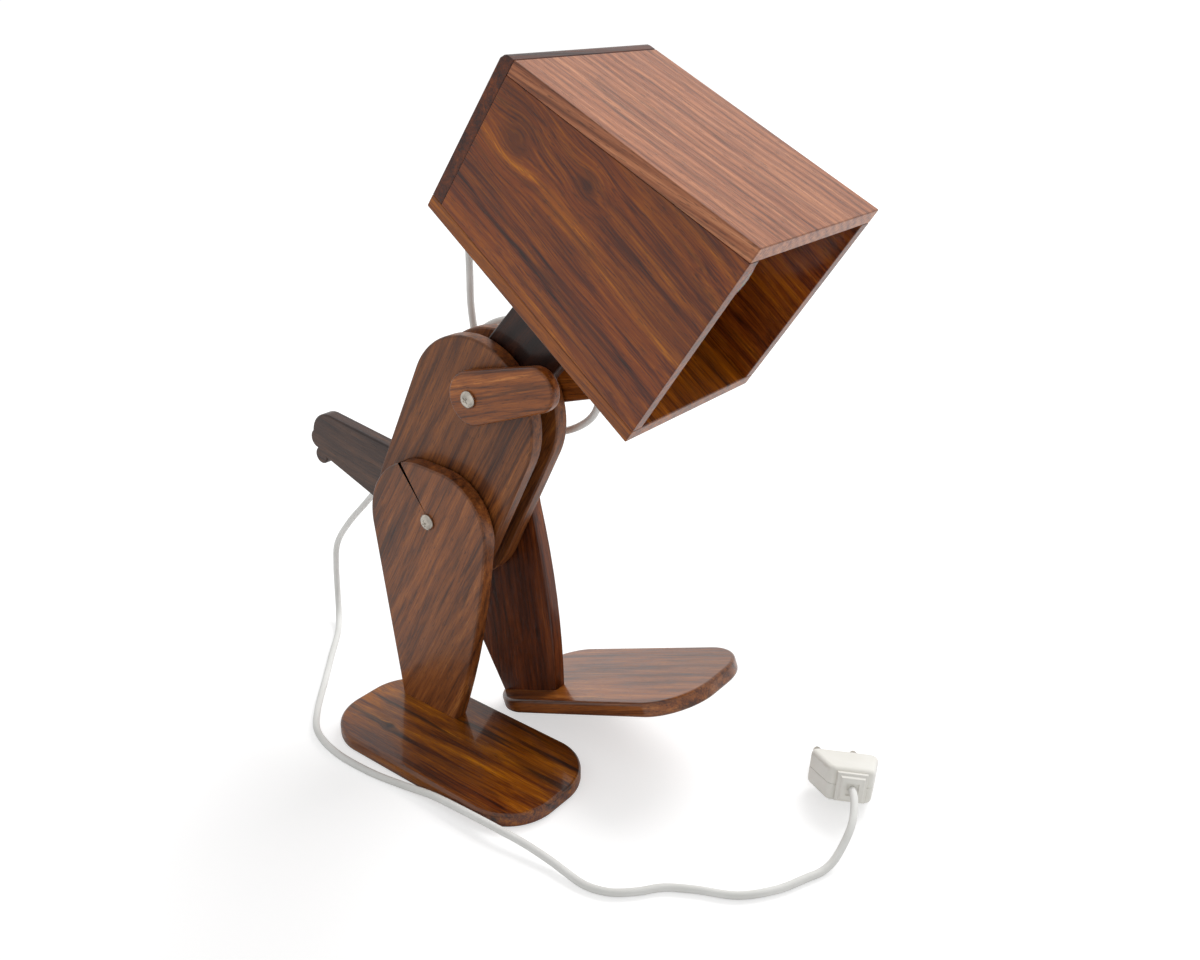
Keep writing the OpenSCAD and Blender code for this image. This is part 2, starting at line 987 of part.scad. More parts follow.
right_body_panel();
left_body_panel();
shoulder_bolt();
hip_bolt();
bolt_nuts();
washers();
shade_top_board();
shade_bottom_board();
shade_back_board();
shade_right_board();
shade_left_board();
neck_board();
neck_screws();
lamp_holder_base();
lamp_holder_body();
holder_screws();
bulb_cap();
bulb_globe();
cord_bushing();
right_arm();
left_arm();
right_leg();
left_leg();
right_foot();
left_foot();
right_foot_screws();
left_foot_screws();
tail_board();
cord_upper();
cord_main();
plug_lower_shell();
plug_upper_shell();
plug_outlet();
plug_pins();
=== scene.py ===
"""A desk lamp in the shape of a walking robot: varnished rosewood boards on long screws.

Every length is in metres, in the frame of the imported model: X forward, Y to the lamp's left and
Z up, with the origin on the floor under the middle of the lamp.
"""

import logging
import math
from contextlib import contextmanager
from dataclasses import dataclass, field
from enum import Enum
from functools import cached_property
from typing import Any, Callable, Iterator, Sequence

import bmesh
import bpy
from mathutils import Matrix, Vector


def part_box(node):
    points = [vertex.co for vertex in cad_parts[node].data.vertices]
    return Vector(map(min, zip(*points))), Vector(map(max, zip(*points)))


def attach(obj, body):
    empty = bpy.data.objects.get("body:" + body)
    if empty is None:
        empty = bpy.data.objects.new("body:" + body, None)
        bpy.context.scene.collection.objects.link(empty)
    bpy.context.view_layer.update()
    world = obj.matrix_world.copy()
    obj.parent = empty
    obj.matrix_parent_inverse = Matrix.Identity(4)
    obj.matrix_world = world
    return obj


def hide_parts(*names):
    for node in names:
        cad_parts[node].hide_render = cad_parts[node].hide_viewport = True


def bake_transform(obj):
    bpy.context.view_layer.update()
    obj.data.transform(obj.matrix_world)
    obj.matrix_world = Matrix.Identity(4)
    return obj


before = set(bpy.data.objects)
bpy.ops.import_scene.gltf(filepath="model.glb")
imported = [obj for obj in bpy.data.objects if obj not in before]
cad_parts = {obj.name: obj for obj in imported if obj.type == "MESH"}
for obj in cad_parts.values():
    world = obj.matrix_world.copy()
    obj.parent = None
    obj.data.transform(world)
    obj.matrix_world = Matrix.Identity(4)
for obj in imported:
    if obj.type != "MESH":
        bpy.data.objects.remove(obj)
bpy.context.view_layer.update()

logging.basicConfig(level=logging.INFO, format="%(message)s")
log = logging.getLogger("lamp")

MM = 0.001
HIP_H = 124.0
HIP = Vector((-43.0, 0.0, HIP_H)) * MM
SHOULDER = Vector((-11.7, 0.0, 197.0)) * MM
SHADE_AT = Vector((-5.3, 0.0, 292.0)) * MM
SHADE_PITCH = 37.6
TOP_PITCH = 26.8
BACK_LEAN = 1.4
LEFT_SWING = 22.0
LEFT_DROP = (HIP_H - 34.0 * math.sin(math.radians(LEFT_SWING))) / math.cos(math.radians(LEFT_SWING))
FOOT_H = 8.0
FOOT_SCREWS = (-19.0, 3.0)
NECK_SCREWS = (50.0, 67.0)
BOLTS = (("shoulder_bolt", SHOULDER, 20.0, 45.0), ("hip_bolt", HIP, 22.0, 20.0))

WELD = 0.004 * MM
TURN_WELD = 0.002 * MM
CUT_WELD = 0.05 * MM
FLAT = math.radians(0.4)
CORNER = 0.7

Rgb = tuple[float, float, float]
Point = tuple[float, float, float]
Outline = list[tuple[float, float]]
Test = Callable[[Any], bool]


class Way(Enum):
    """Directions on the lamp that a board's grain or face follows."""

    FORWARD = (1.0, 0.0, 0.0)
    ACROSS = (0.0, 1.0, 0.0)
    UP = (0.0, 0.0, 1.0)

    @property
    def vector(self) -> Vector:
        """The direction as a vector."""
        return Vector(self.value)


def slope(degrees: float) -> Vector:
    """Gives the unit vector that rises at an angle from forward, in the lamp's middle plane."""
    return Vector((math.cos(math.radians(degrees)), 0.0, math.sin(math.radians(degrees))))


def paint(red: float, green: float, blue: float, strength: float = 1.0) -> tuple[float, float, float, float]:
    """Turns a screen colour into a linear one.

    Args:
        red: Red, from 0 to 255.
        green: Green, from 0 to 255.
        blue: Blue, from 0 to 255.
        strength: Factor on the linear colour.

    Returns:
        The linear colour with an alpha of 1.
    """
    parts = []
    for value in (red, green, blue):
        share = value / 255
        parts.append(strength * (share / 12.92 if share < 0.04045 else ((share + 0.055) / 1.055) ** 2.4))
    return (parts[0], parts[1], parts[2], 1.0)


# --- materials --------------------------------------------------------------------------


class Recipe:
    """A node tree, written one node at a time."""

    def __init__(self, owner: Any) -> None:
        """Starts an empty tree on a material or a world.

        Args:
            owner: The material or the world.
        """
        owner.use_nodes = True
        self.owner = owner
        self.tree = owner.node_tree
        self.tree.nodes.clear()

    @cached_property
    def place(self) -> bpy.types.NodeSocket:
        """The place on the model, in the object's own coordinates."""
        return self.add("ShaderNodeTexCoord").outputs["Object"]

    def add(self, kind: str, inputs: dict[Any, Any] | None = None, **settings: Any) -> bpy.types.Node:
        """Adds a node.

        Args:
            kind: The node's type.
            inputs: Sockets by name or number, each with a value or the output that feeds it.
            **settings: The node's own settings.

        Returns:
            The new node.
        """
        node = self.tree.nodes.new(kind)
        for key, value in settings.items():
            setattr(node, key, value)
        for key, value in (inputs or {}).items():
            if isinstance(value, bpy.types.NodeSocket):
                self.tree.links.new(value, node.inputs[key])
            else:
                node.inputs[key].default_value = value
        return node

    def mapping(self, vector: bpy.types.NodeSocket, **values: Any) -> bpy.types.NodeSocket:
        """Moves, turns or scales coordinates by location, rotation and scale."""
        inputs = {"Vector": vector, **{key.capitalize(): value for key, value in values.items()}}
        return self.add("ShaderNodeMapping", inputs).outputs[0]

    def noise(
        self, vector: bpy.types.NodeSocket, scale: Sequence[float], detail: float = 2.0, curl: float = 0.0
    ) -> bpy.types.Node:
        """Adds noise, with its spots in a metre along each axis, its finer layers and its curl."""
        spread = {"Vector": self.mapping(vector, scale=tuple(scale)), "Scale": 1.0}
        return self.add("ShaderNodeTexNoise", spread | {"Detail": detail, "Distortion": curl})

    def stretch(
        self, value: bpy.types.NodeSocket, low: float, high: float, to_low: float = 0.0, to_high: float = 1.0
    ) -> bpy.types.NodeSocket:
        """Maps a value from low..high onto to_low..to_high and holds it there."""
        ends = {0: value, 1: low, 2: high, 3: to_low, 4: to_high}
        return self.add("ShaderNodeMapRange", ends, clamp=True).outputs[0]

    def math(self, operation: str, *values: Any) -> bpy.types.NodeSocket:
        """Adds a sum, product or the like of values or outputs."""
        return self.add("ShaderNodeMath", dict(enumerate(values)), operation=operation).outputs[0]

    def vectors(self, operation: str, *values: Any, scale: Any = None) -> bpy.types.NodeSocket:
        """Adds a sum, distance or scaling of vectors or outputs."""
        inputs = dict(enumerate(values)) | ({} if scale is None else {3: scale})
        return self.add("ShaderNodeVectorMath", inputs, operation=operation).outputs[operation == "DISTANCE"]

    def mix(self, share: Any, first: Any, second: Any) -> bpy.types.NodeSocket:
        """Mixes two colours by the share of the second."""
        return self.add("ShaderNodeMix", {0: share, 6: first, 7: second}, data_type="RGBA").outputs[2]

    def bump(self, height: bpy.types.NodeSocket, strength: float, distance: float) -> bpy.types.NodeSocket:
        """Makes a relief from a height of 0 to 1, by its strength and the depth of a full step."""
        inputs = {"Strength": strength, "Distance": distance, "Height": height}
        return self.add("ShaderNodeBump", inputs).outputs[0]

    def surface(self, **inputs: Any) -> bpy.types.Material:
        """Ends a material's recipe with its shader.

        Args:
            **inputs: The shader's sockets, with an underscore for each space.

        Returns:
            The finished material.
        """
        named = {key.replace("_", " "): value for key, value in inputs.items()}
        shader = self.add("ShaderNodeBsdfPrincipled", named)
        self.add("ShaderNodeOutputMaterial", {"Surface": shader.outputs[0]})
        return self.owner


LINE_TONE = paint(26, 12, 9)
PORE_TONE = paint(30, 14, 9)
STAIN_TONE = paint(24, 9, 7)


@dataclass(frozen=True)
class Knot:
    """A knot or dark swirl in a board, round which the grain runs."""

    at: Point
    radius: float
    darkness: float = 0.85


@dataclass(frozen=True)
class Wood:
    """A varnished rosewood: its tones from dark to light, and how its grain runs."""

    name: str
    tones: tuple[Rgb, ...]
    ring_gap: float = 0.0065
    rings: float = 0.34
    fibres: float = 0.30
    stray: float = 0.010
    lines: float = 0.55
    line_gap: float = 0.0045
    shine: float = 0.75
    haze: float = 0.14
    rough: float = 0.42
    streaks: float = 260.0
    clouds: float = 0.22
    edge_strength: float = 0.8
    richness: float = 1.14

    def dress(
        self,
        label: str,
        grain: Vector,
        face: Vector,
        middle: Vector,
        knots: Sequence[Knot] = (),
        darkened_edge: bool = False,
    ) -> bpy.types.Material:
        """Makes the wood of one board, with the grain laid along it.

        Args:
            label: The board's name.
            grain: The direction of the grain.
            face: The direction that the board's broad side looks in.
            middle: The board's middle.
            knots: Knots in the board.
            darkened_edge: True for the rounded edges, whose tones are scaled by edge_strength.

        Returns:
            The material.
        """
        recipe = Recipe(bpy.data.materials.new(f"{self.name}_{label}" + ("_edge" if darkened_edge else "")))
        tilt = math.radians(2.5)
        along = (grain * math.cos(tilt) + face * math.sin(tilt)).normalized()
        side = face.cross(along).normalized()
        lay = Matrix((along, side, along.cross(side)))
        seed = sum(ord(letter) * (place + 3) for place, letter in enumerate(label)) % 97
        shift = Vector((0.31 * seed, 0.17 * seed, 0.23 * seed))
        home = shift - lay @ middle
        flat = recipe.mapping(recipe.place, rotation=tuple(lay.to_euler()), location=tuple(home))
        drift = recipe.vectors("SUBTRACT", recipe.noise(flat, (7, 24, 24), 2.0).outputs[1], (0.5, 0.5, 0.5))
        strayed = recipe.vectors("ADD", flat, recipe.vectors("SCALE", drift, scale=self.stray))
        stain: Any = None
        for knot in knots:
            spot = lay @ Vector(knot.at) + home
            away = recipe.vectors("DISTANCE", flat, tuple(spot))
            near = recipe.stretch(away, 4.0 * knot.radius, 0.0)
            near = recipe.math("MULTIPLY", near, near)
            push = recipe.vectors("SUBTRACT", flat, tuple(spot))
            strayed = recipe.vectors("SUBTRACT", strayed, recipe.vectors("SCALE", push, scale=near))
            ragged = recipe.noise(strayed, (60, 240, 240), 4.0, 1.2).outputs[0]
            ragged = recipe.stretch(ragged, 0.3, 0.7, 0.45, 1.0)
            core = recipe.stretch(away, 1.9 * knot.radius, 0.45 * knot.radius, 0.0, knot.darkness)
            core = recipe.math("MULTIPLY", core, ragged)
            stain = core if stain is None else recipe.math("MAXIMUM", stain, core)
        tone, fibre = self._figure(recipe, strayed)
        colour = self._ramp(recipe, tone, darkened_edge)
        lines = recipe.noise(strayed, (4.5, 1.0 / self.line_gap, 1.0 / self.line_gap), 3.0, 0.3).outputs[0]
        colour = recipe.mix(recipe.stretch(lines, 0.56, 0.66, 0.0, self.lines), colour, LINE_TONE)
        pores = recipe.stretch(recipe.noise(flat, (190, 2300, 2300), 1.0).outputs[0], 0.60, 0.70)
        colour = recipe.mix(recipe.math("MULTIPLY", pores, 0.5), colour, PORE_TONE)
        if stain is not None:
            colour = recipe.mix(stain, colour, STAIN_TONE)
        patches = recipe.noise(flat, (11, 38, 38), 4.0, 0.6).outputs[0]
        value = recipe.stretch(patches, 0.30, 0.70, 1 - self.clouds, 1 + self.clouds)
        rich = {"Saturation": self.richness, "Value": value, "Color": colour}
        colour = recipe.add("ShaderNodeHueSaturation", rich).outputs[0]
        height = recipe.math("SUBTRACT", recipe.math("MULTIPLY", fibre, 0.5), pores)
        if stain is not None:
            height = recipe.math("SUBTRACT", height, stain)
        dull = recipe.stretch(fibre, 0.2, 0.8, self.rough - 0.06, self.rough + 0.08)
        return recipe.surface(
            Base_Color=colour,
            Roughness=dull,
            Specular_IOR_Level=0.28,
            Normal=recipe.bump(height, 0.28, 0.00025),
            Coat_Weight=self.shine,
            Coat_Roughness=self.haze,
            Coat_Normal=recipe.bump(height, 0.07, 0.0002),
        )

    def _figure(self, recipe: Recipe, grain: bpy.types.NodeSocket) -> tuple[Any, Any]:
        """Weighs growth rings, broad streaks and fibres.

        Args:
            recipe: The recipe.
            grain: Coordinates along the strayed grain.

        Returns:
            The tone from 0 to 1, and the fibres from 0 to 1.
        """
        pith = recipe.mapping(grain, location=(0.0, 0.018, 0.055))
        rings = recipe.add(
            "ShaderNodeTexWave",
            {
                "Vector": pith,
                "Scale": 2 * math.pi / 20 / self.ring_gap,
                "Distortion": 5.0,
                "Detail": 2.5,
                "Detail Scale": 0.22,
                "Detail Roughness": 0.62,
            },
            wave_type="RINGS",
            rings_direction="X",
        ).outputs[1]
        bands = recipe.noise(grain, (5, 0.34 * self.streaks, 0.34 * self.streaks), 3.0, 0.3).outputs[0]
        fine = recipe.noise(grain, (12, 1.7 * self.streaks, 1.7 * self.streaks), 5.0, 0.4).outputs[0]
        broad_streaks = recipe.stretch(bands, 0.32, 0.68, 0, 0.52)
        streaks = recipe.math("ADD", broad_streaks, recipe.stretch(fine, 0.32, 0.68, 0, 0.48))
        fibre = recipe.stretch(recipe.noise(grain, (42, 1500, 1500), 3.0).outputs[0], 0.28, 0.72)
        broad = 1.0 - self.fibres - self.rings
        tone = recipe.math("MULTIPLY_ADD", rings, self.rings, recipe.math("MULTIPLY", streaks, broad))
        return recipe.math("MULTIPLY_ADD", fibre, self.fibres, tone), fibre

    def _ramp(self, recipe: Recipe, tone: bpy.types.NodeSocket, darkened_edge: bool) -> bpy.types.NodeSocket:
        """Colours the tone.

        Args:
            recipe: The recipe.
            tone: The tone from 0 to 1.
            darkened_edge: True for the rounded edges, whose tones are scaled by edge_strength.

        Returns:
            The colour.
        """
        node = recipe.add("ShaderNodeValToRGB", {0: tone})
        ramp = node.color_ramp
        ramp.interpolation = "EASE"
        stops = len(self.tones)
        while len(ramp.elements) < stops:
            ramp.elements.new(0.5)
        for place, (stop, tone_rgb) in enumerate(zip(ramp.elements, self.tones)):
            stop.position = 0.14 + 0.72 * place / (stops - 1)
            stop.color = paint(*tone_rgb, strength=self.edge_strength if darkened_edge else 1.0)
        return node.outputs[0]


@dataclass(frozen=True)
class Metal:
    """A plated metal with fine marks from its making."""

    name: str
    colour: Rgb
    rough: float = 0.24
    marks: float = 0.05

    def dress(self) -> bpy.types.Material:
        """Makes the metal and returns it."""
        recipe = Recipe(bpy.data.materials.new(self.name))
        cloud = recipe.noise(recipe.place, (260, 260, 260), 3.0).outputs[0]
        scratches = recipe.noise(recipe.place, (900, 3400, 900), 2.0).outputs[0]
        dark = paint(*(0.8 * part for part in self.colour))
        colour = recipe.mix(recipe.stretch(cloud, 0.35, 0.68), dark, paint(*self.colour))
        dull = recipe.stretch(cloud, 0.3, 0.7, self.rough - 0.07, self.rough + 0.10)
        return recipe.surface(
            Base_Color=colour,
            Metallic=1.0,
            Roughness=dull,
            Normal=recipe.bump(scratches, self.marks, 0.0001),
        )


@dataclass(frozen=True)
class Moulded:
    """A moulded plastic, glaze or glass skin of one colour with faint clouding."""

    name: str
    colour: Rgb
    shade: Rgb
    rough: float = 0.34
    shine: float = 0.3
    grain: float = 1400.0
    relief: float = 0.06
    milk: float = 0.0

    def dress(self) -> bpy.types.Material:
        """Makes the skin and returns it."""
        recipe = Recipe(bpy.data.materials.new(self.name))
        cloud = recipe.noise(recipe.place, (38, 38, 38), 3.0).outputs[0]
        colour = recipe.mix(recipe.stretch(cloud, 0.36, 0.66), paint(*self.shade), paint(*self.colour))
        pits = recipe.noise(recipe.place, (self.grain,) * 3, 2.0).outputs[0]
        dull = recipe.stretch(cloud, 0.3, 0.7, self.rough - 0.05, self.rough + 0.07)
        return recipe.surface(
            Base_Color=colour,
            Roughness=dull,
            Normal=recipe.bump(pits, self.relief, 0.0001),
            Coat_Weight=self.shine,
            Coat_Roughness=0.12,
            Subsurface_Weight=self.milk,
            Subsurface_Scale=0.004,
        )


SHADE_SIDE = Wood(
    "shade_rosewood",
    ((42, 14, 8), (88, 38, 18), (124, 62, 28), (150, 84, 38), (186, 116, 54)),
    ring_gap=0.0052, rings=0.12, stray=0.012, lines=0.36, line_gap=0.003, shine=0.5, haze=0.12,
    clouds=0.26,
)
# Painted highlight: the shade's top board gets paler, pinker tones than the sides, standing for the glare on
# its varnish; its stripes are real grain.
SHADE_TOP_GLARE_PALE = Wood(
    "shade_top_rosewood",
    ((104, 54, 34), (142, 84, 56), (168, 106, 74), (188, 124, 88), (210, 148, 108)),
    ring_gap=0.0034, rings=0.2, stray=0.002, lines=0.36, line_gap=0.002, shine=0.5, haze=0.24,
    streaks=420.0, clouds=0.07, richness=1.05,
)
SHADE_FLOOR = Wood(
    "shade_amber_rosewood",
    ((62, 28, 14), (110, 58, 28), (142, 82, 42), (168, 102, 54), (194, 126, 70)),
    ring_gap=0.0036, rings=0.12, stray=0.003, lines=0.45, line_gap=0.0024, shine=0.5, streaks=380.0,
)
SHADE_DARK = Wood(
    "shade_dark_rosewood",
    ((34, 14, 9), (64, 30, 19), (90, 46, 28), (112, 61, 37), (138, 80, 50)),
    rings=0.12, lines=0.4, line_gap=0.003, shine=0.4, streaks=320.0,
)
BODY = Wood(
    "body_rosewood",
    ((58, 33, 24), (94, 58, 40), (122, 78, 53), (144, 94, 63), (172, 118, 78)),
    ring_gap=0.0048, rings=0.12, lines=0.42, line_gap=0.003, shine=0.35, haze=0.22, rough=0.5,
    streaks=300.0, clouds=0.14,
)
LEG = Wood(
    "leg_rosewood",
    ((58, 32, 22), (98, 60, 41), (128, 81, 55), (150, 98, 67), (180, 124, 84)),
    ring_gap=0.0052, rings=0.12, lines=0.55, line_gap=0.0042, shine=0.4, haze=0.2, clouds=0.2,
)
LEG_DARK = Wood(
    "leg_dark_rosewood",
    ((36, 16, 11), (66, 34, 24), (92, 51, 35), (114, 66, 45), (140, 88, 60)),
    rings=0.12, lines=0.45, line_gap=0.0034, shine=0.4,
)
ARM = Wood(
    "arm_rosewood",
    ((72, 38, 24), (112, 66, 42), (140, 86, 55), (162, 104, 68), (190, 130, 88)),
    ring_gap=0.004, rings=0.12, stray=0.004, lines=0.5, line_gap=0.0028, shine=0.45, streaks=330.0,
)
NECK = Wood(
    "neck_dark_rosewood",
    ((18, 9, 8), (32, 17, 13), (44, 25, 20), (58, 34, 25), (80, 46, 34)),
    lines=0.3, shine=0.3,
)
TAIL = Wood(
    "tail_dark_rosewood",
    ((36, 24, 21), (56, 40, 36), (72, 53, 46), (90, 67, 56), (114, 84, 68)),
    rings=0.12, lines=0.35, shine=0.3, haze=0.2,
)
FOOT_DARK = Wood(
    "foot_dark_rosewood",
    ((36, 13, 8), (80, 38, 18), (118, 66, 30), (150, 92, 42), (184, 122, 62)),
    ring_gap=0.007, rings=0.14, stray=0.008, lines=0.85, line_gap=0.0062, shine=0.8, haze=0.08,
    streaks=170.0, clouds=0.26,
)
# Painted reflection: the left foot's wood is paler and greyer than the right foot's, standing for the sheen
# on its tilted top; its grain is real.
FOOT_PAINTED_SHEEN = Wood(
    "foot_light_rosewood",
    ((58, 30, 20), (102, 60, 38), (134, 84, 54), (158, 106, 70), (188, 138, 98)),
    ring_gap=0.006, rings=0.14, stray=0.006, lines=0.55, line_gap=0.004, shine=0.8, haze=0.1,
    streaks=190.0,
)
NICKEL = Metal("bright_nickel", (214, 206, 194), 0.2)
SCREW_STEEL = Metal("zinc_plated_steel", (196, 192, 182), 0.3)
CAP_METAL = Metal("bulb_cap_brass_nickel", (206, 200, 186), 0.26)
CORD_SKIN = Moulded("white_cord_skin", (238, 238, 235), (226, 226, 222), rough=0.38, shine=0.15, grain=2400.0)
BUSHING_SKIN = Moulded("white_bushing_rubber", (234, 234, 230), (222, 222, 217), rough=0.45, shine=0.05)
PLUG_SKIN = Moulded(
    "ivory_plug_plastic", (238, 236, 229), (229, 226, 217),
    rough=0.3, shine=0.35, relief=0.09,
)
GLAZE = Moulded("white_holder_glaze", (240, 239, 234), (231, 230, 224), rough=0.22, shine=0.9, relief=0.03)
OPAL = Moulded(
    "opal_bulb_glass", (246, 245, 241), (241, 240, 235),
    rough=0.16, shine=0.8, relief=0.02, milk=0.25,
)


# --- workshop: picking, cutting and turning ----------------------------------------------


def shift(x: float, y: float, z: float) -> Matrix:
    """Gives a move in millimetres."""
    return Matrix.Translation(Vector((x, y, z)) * MM)


def turn(degrees: float, axis: str) -> Matrix:
    """Gives a turn round an axis through the origin."""
    return Matrix.Rotation(math.radians(degrees), 4, axis)


def lone(obj: bpy.types.Object) -> None:
    """Leaves one object selected and active."""
    bpy.ops.object.select_all(action="DESELECT")
    obj.select_set(True)
    bpy.context.view_layer.objects.active = obj


@contextmanager
def bench(obj: bpy.types.Object, kind: str = "FACE") -> Iterator[bmesh.types.BMesh]:
    """Opens a piece in edit mode with nothing selected.

    Args:
        obj: The piece.
        kind: What is picked: VERT, EDGE or FACE.

    Yields:
        The mesh being edited.
    """
    lone(obj)
    bpy.ops.object.mode_set(mode="EDIT")
    bpy.ops.mesh.select_mode(type=kind)
    bpy.ops.mesh.select_all(action="DESELECT")
    yield bmesh.from_edit_mesh(obj.data)
    bpy.ops.object.mode_set(mode="OBJECT")


def pick(obj: bpy.types.Object, parts: Sequence[Any], wanted: Test) -> bool:
    """Selects the faces or edges that pass a test.

    Args:
        obj: The piece.
        parts: Its faces or edges.
        wanted: The test.

    Returns:
        True if there are any.
    """
    bpy.ops.mesh.select_all(action="DESELECT")
    chosen = [part for part in parts if wanted(part)]
    for part in chosen:
        part.select_set(True)
    bmesh.update_edit_mesh(obj.data)
    return bool(chosen)


def is_corner(edge: Any) -> bool:
    """Tells whether two faces meet at an edge at more than 40 degrees."""
    return len(edge.link_faces) == 2 and edge.calc_face_angle(0.0) > CORNER


def near_line(edge: Any, at: Vector, way: Vector, reach: float) -> bool:
    """Tells whether both ends of an edge lie within a reach of the line through a point."""
    return all(((vert.co - at) - (vert.co - at).dot(way) * way).length < reach for vert in edge.verts)


def round_edges(
    obj: bpy.types.Object, wanted: Test, width: float, steps: int, material: int = -1, clamp: bool = False
) -> None:
    """Rounds the edges that pass a test.

    Args:
        obj: The piece.
        wanted: The test.
        width: The width of the rounding.
        steps: The faces across it.
        material: The number of its material, or -1 for that of the faces beside it.
        clamp: True if roundings that would overlap are made narrower.
    """
    with bench(obj, "EDGE") as mesh:
        if pick(obj, mesh.edges, wanted):
            bpy.ops.mesh.bevel(
                offset=width, segments=steps, affect="EDGES", clamp_overlap=clamp, material=material
            )


def modify(obj: bpy.types.Object, kind: str, **settings: Any) -> None:
    """Adds a modifier and applies it.

    Args:
        obj: The piece.
        kind: The modifier's type.
        **settings: Its settings.
    """
    lone(obj)
    modifier = obj.modifiers.new(kind.lower(), kind)
    for key, value in settings.items():
        setattr(modifier, key, value)
    bpy.ops.object.modifier_apply(modifier=modifier.name)


def smooth(obj: bpy.types.Object, degrees: float = 32.0) -> None:
    """Smooths a piece up to an angle and keeps its flat faces flat.

    Args:
        obj: The piece.
        degrees: The angle.
    """
    lone(obj)
    bpy.ops.object.shade_smooth_by_angle(angle=math.radians(degrees))
    modify(obj, "WEIGHTED_NORMAL", keep_sharp=True, weight=60)


def settle(obj: bpy.types.Object, place: Matrix) -> None:
    """Puts a piece in its place and keeps that place in its mesh.

    Args:
        obj: The piece.
        place: Its place.
    """
    lone(obj)
    obj.matrix_world = place @ obj.matrix_world
    bpy.ops.object.transform_apply(location=True, rotation=True, scale=True)


def twin(source: bpy.types.Object, name: str) -> bpy.types.Object:
    """Copies a piece.

    Args:
        source: The piece.
        name: The copy's name.

    Returns:
        The copy, with a mesh of its own.
    """
    copy = bpy.data.objects.new(name, source.data.copy())
    bpy.context.scene.collection.objects.link(copy)
    return copy


def repeated(first: bpy.types.Object, places: Sequence[Matrix]) -> bpy.types.Object:
    """Copies a piece to each of its places and joins the copies.

    Args:
        first: The piece.
        places: The places, of which the piece itself takes the first.

    Returns:
        The joined piece.
    """
    copies = [first] + [twin(first, f"{first.name}_{number}") for number in range(1, len(places))]
    for copy, place in zip(copies, places):
        settle(copy, place)
    bpy.ops.object.select_all(action="DESELECT")
    for copy in copies:
        copy.select_set(True)
    bpy.context.view_layer.objects.active = first
    bpy.ops.object.join()
    return first


def merged(name: str, cuts: Sequence[tuple[Vector, Vector]] | None = None) -> bpy.types.Object:
    """Copies the solid that a piece stands for, and merges the facets of its flat faces.

    Args:
        name: The piece's name.
        cuts: Planes, each by a point and its normal, at which the flat faces stay divided.

    Returns:
        The copy.
    """
    piece = twin(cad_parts[node_of(name)], name)
    with bench(piece, "EDGE"):
        bpy.ops.mesh.select_all(action="SELECT")
        bpy.ops.mesh.remove_doubles(threshold=WELD)
        for point, way in cuts or ():
            bpy.ops.mesh.select_all(action="SELECT")
            bpy.ops.mesh.bisect(plane_co=point, plane_no=way)
            bpy.ops.mesh.mark_seam(clear=False)
        if cuts is not None:
            bpy.ops.mesh.select_all(action="SELECT")
            bpy.ops.mesh.remove_doubles(threshold=CUT_WELD)
        bpy.ops.mesh.dissolve_limited(angle_limit=FLAT, delimit={"SEAM"})
        bpy.ops.mesh.faces_shade_smooth()
    return piece


def turned(name: str, outline: Outline, steps: int) -> bpy.types.Object:
    """Turns a piece round the Z axis, as on a lathe.

    Args:
        name: The piece's name.
        outline: Its radius and height at each point, in millimetres.
        steps: Steps in a full turn.

    Returns:
        The piece.
    """
    bpy.ops.object.select_all(action="DESELECT")
    bpy.ops.mesh.primitive_plane_add(size=MM)
    obj = bpy.context.object
    obj.name = name
    with bench(obj, "VERT"):
        bpy.ops.mesh.select_all(action="SELECT")
        bpy.ops.mesh.merge(type="CENTER")
        points = [Vector((radius, 0.0, height)) * MM for radius, height in outline]
        bpy.ops.transform.translate(value=points[0])
        for last, here in zip(points, points[1:]):
            bpy.ops.mesh.extrude_vertices_move(TRANSFORM_OT_translate={"value": here - last})
        bpy.ops.mesh.select_all(action="SELECT")
        bpy.ops.mesh.spin(steps=steps, angle=2 * math.pi, center=(0, 0, 0), axis=(0, 0, 1))
        bpy.ops.mesh.select_all(action="SELECT")
        bpy.ops.mesh.remove_doubles(threshold=TURN_WELD)
        bpy.ops.mesh.normals_make_consistent(inside=False)
    smooth(obj)
    return obj


def thread(
    radius: float, deep: float, start: float, end: float, steps: Sequence[float], pitch: float
) -> Outline:
    """Draws the outline of a screw's thread, all in millimetres.

    Args:
        radius: The radius at the crests.
        deep: How much less it is at the roots.
        start: Where the thread starts below the head.
        end: Where no new turn starts.
        steps: Where each turn has the end of its crest, its root and its next crest.
        pitch: The length of a turn.

    Returns:
        The outline.
    """
    points: Outline = []
    while start < end:
        points += [(at, -start - step) for at, step in zip((radius, radius - deep, radius), steps)]
        start += pitch
    return points


def cut_away(obj: bpy.types.Object, cutter: bpy.types.Object, keep: str = "DIFFERENCE") -> None:
    """Cuts one piece with another, which is then thrown away.

    Args:
        obj: The piece.
        cutter: What cuts it.
        keep: DIFFERENCE, INTERSECT or UNION.
    """
    modify(obj, "BOOLEAN", object=cutter, operation=keep, solver="EXACT")
    bpy.data.objects.remove(cutter)


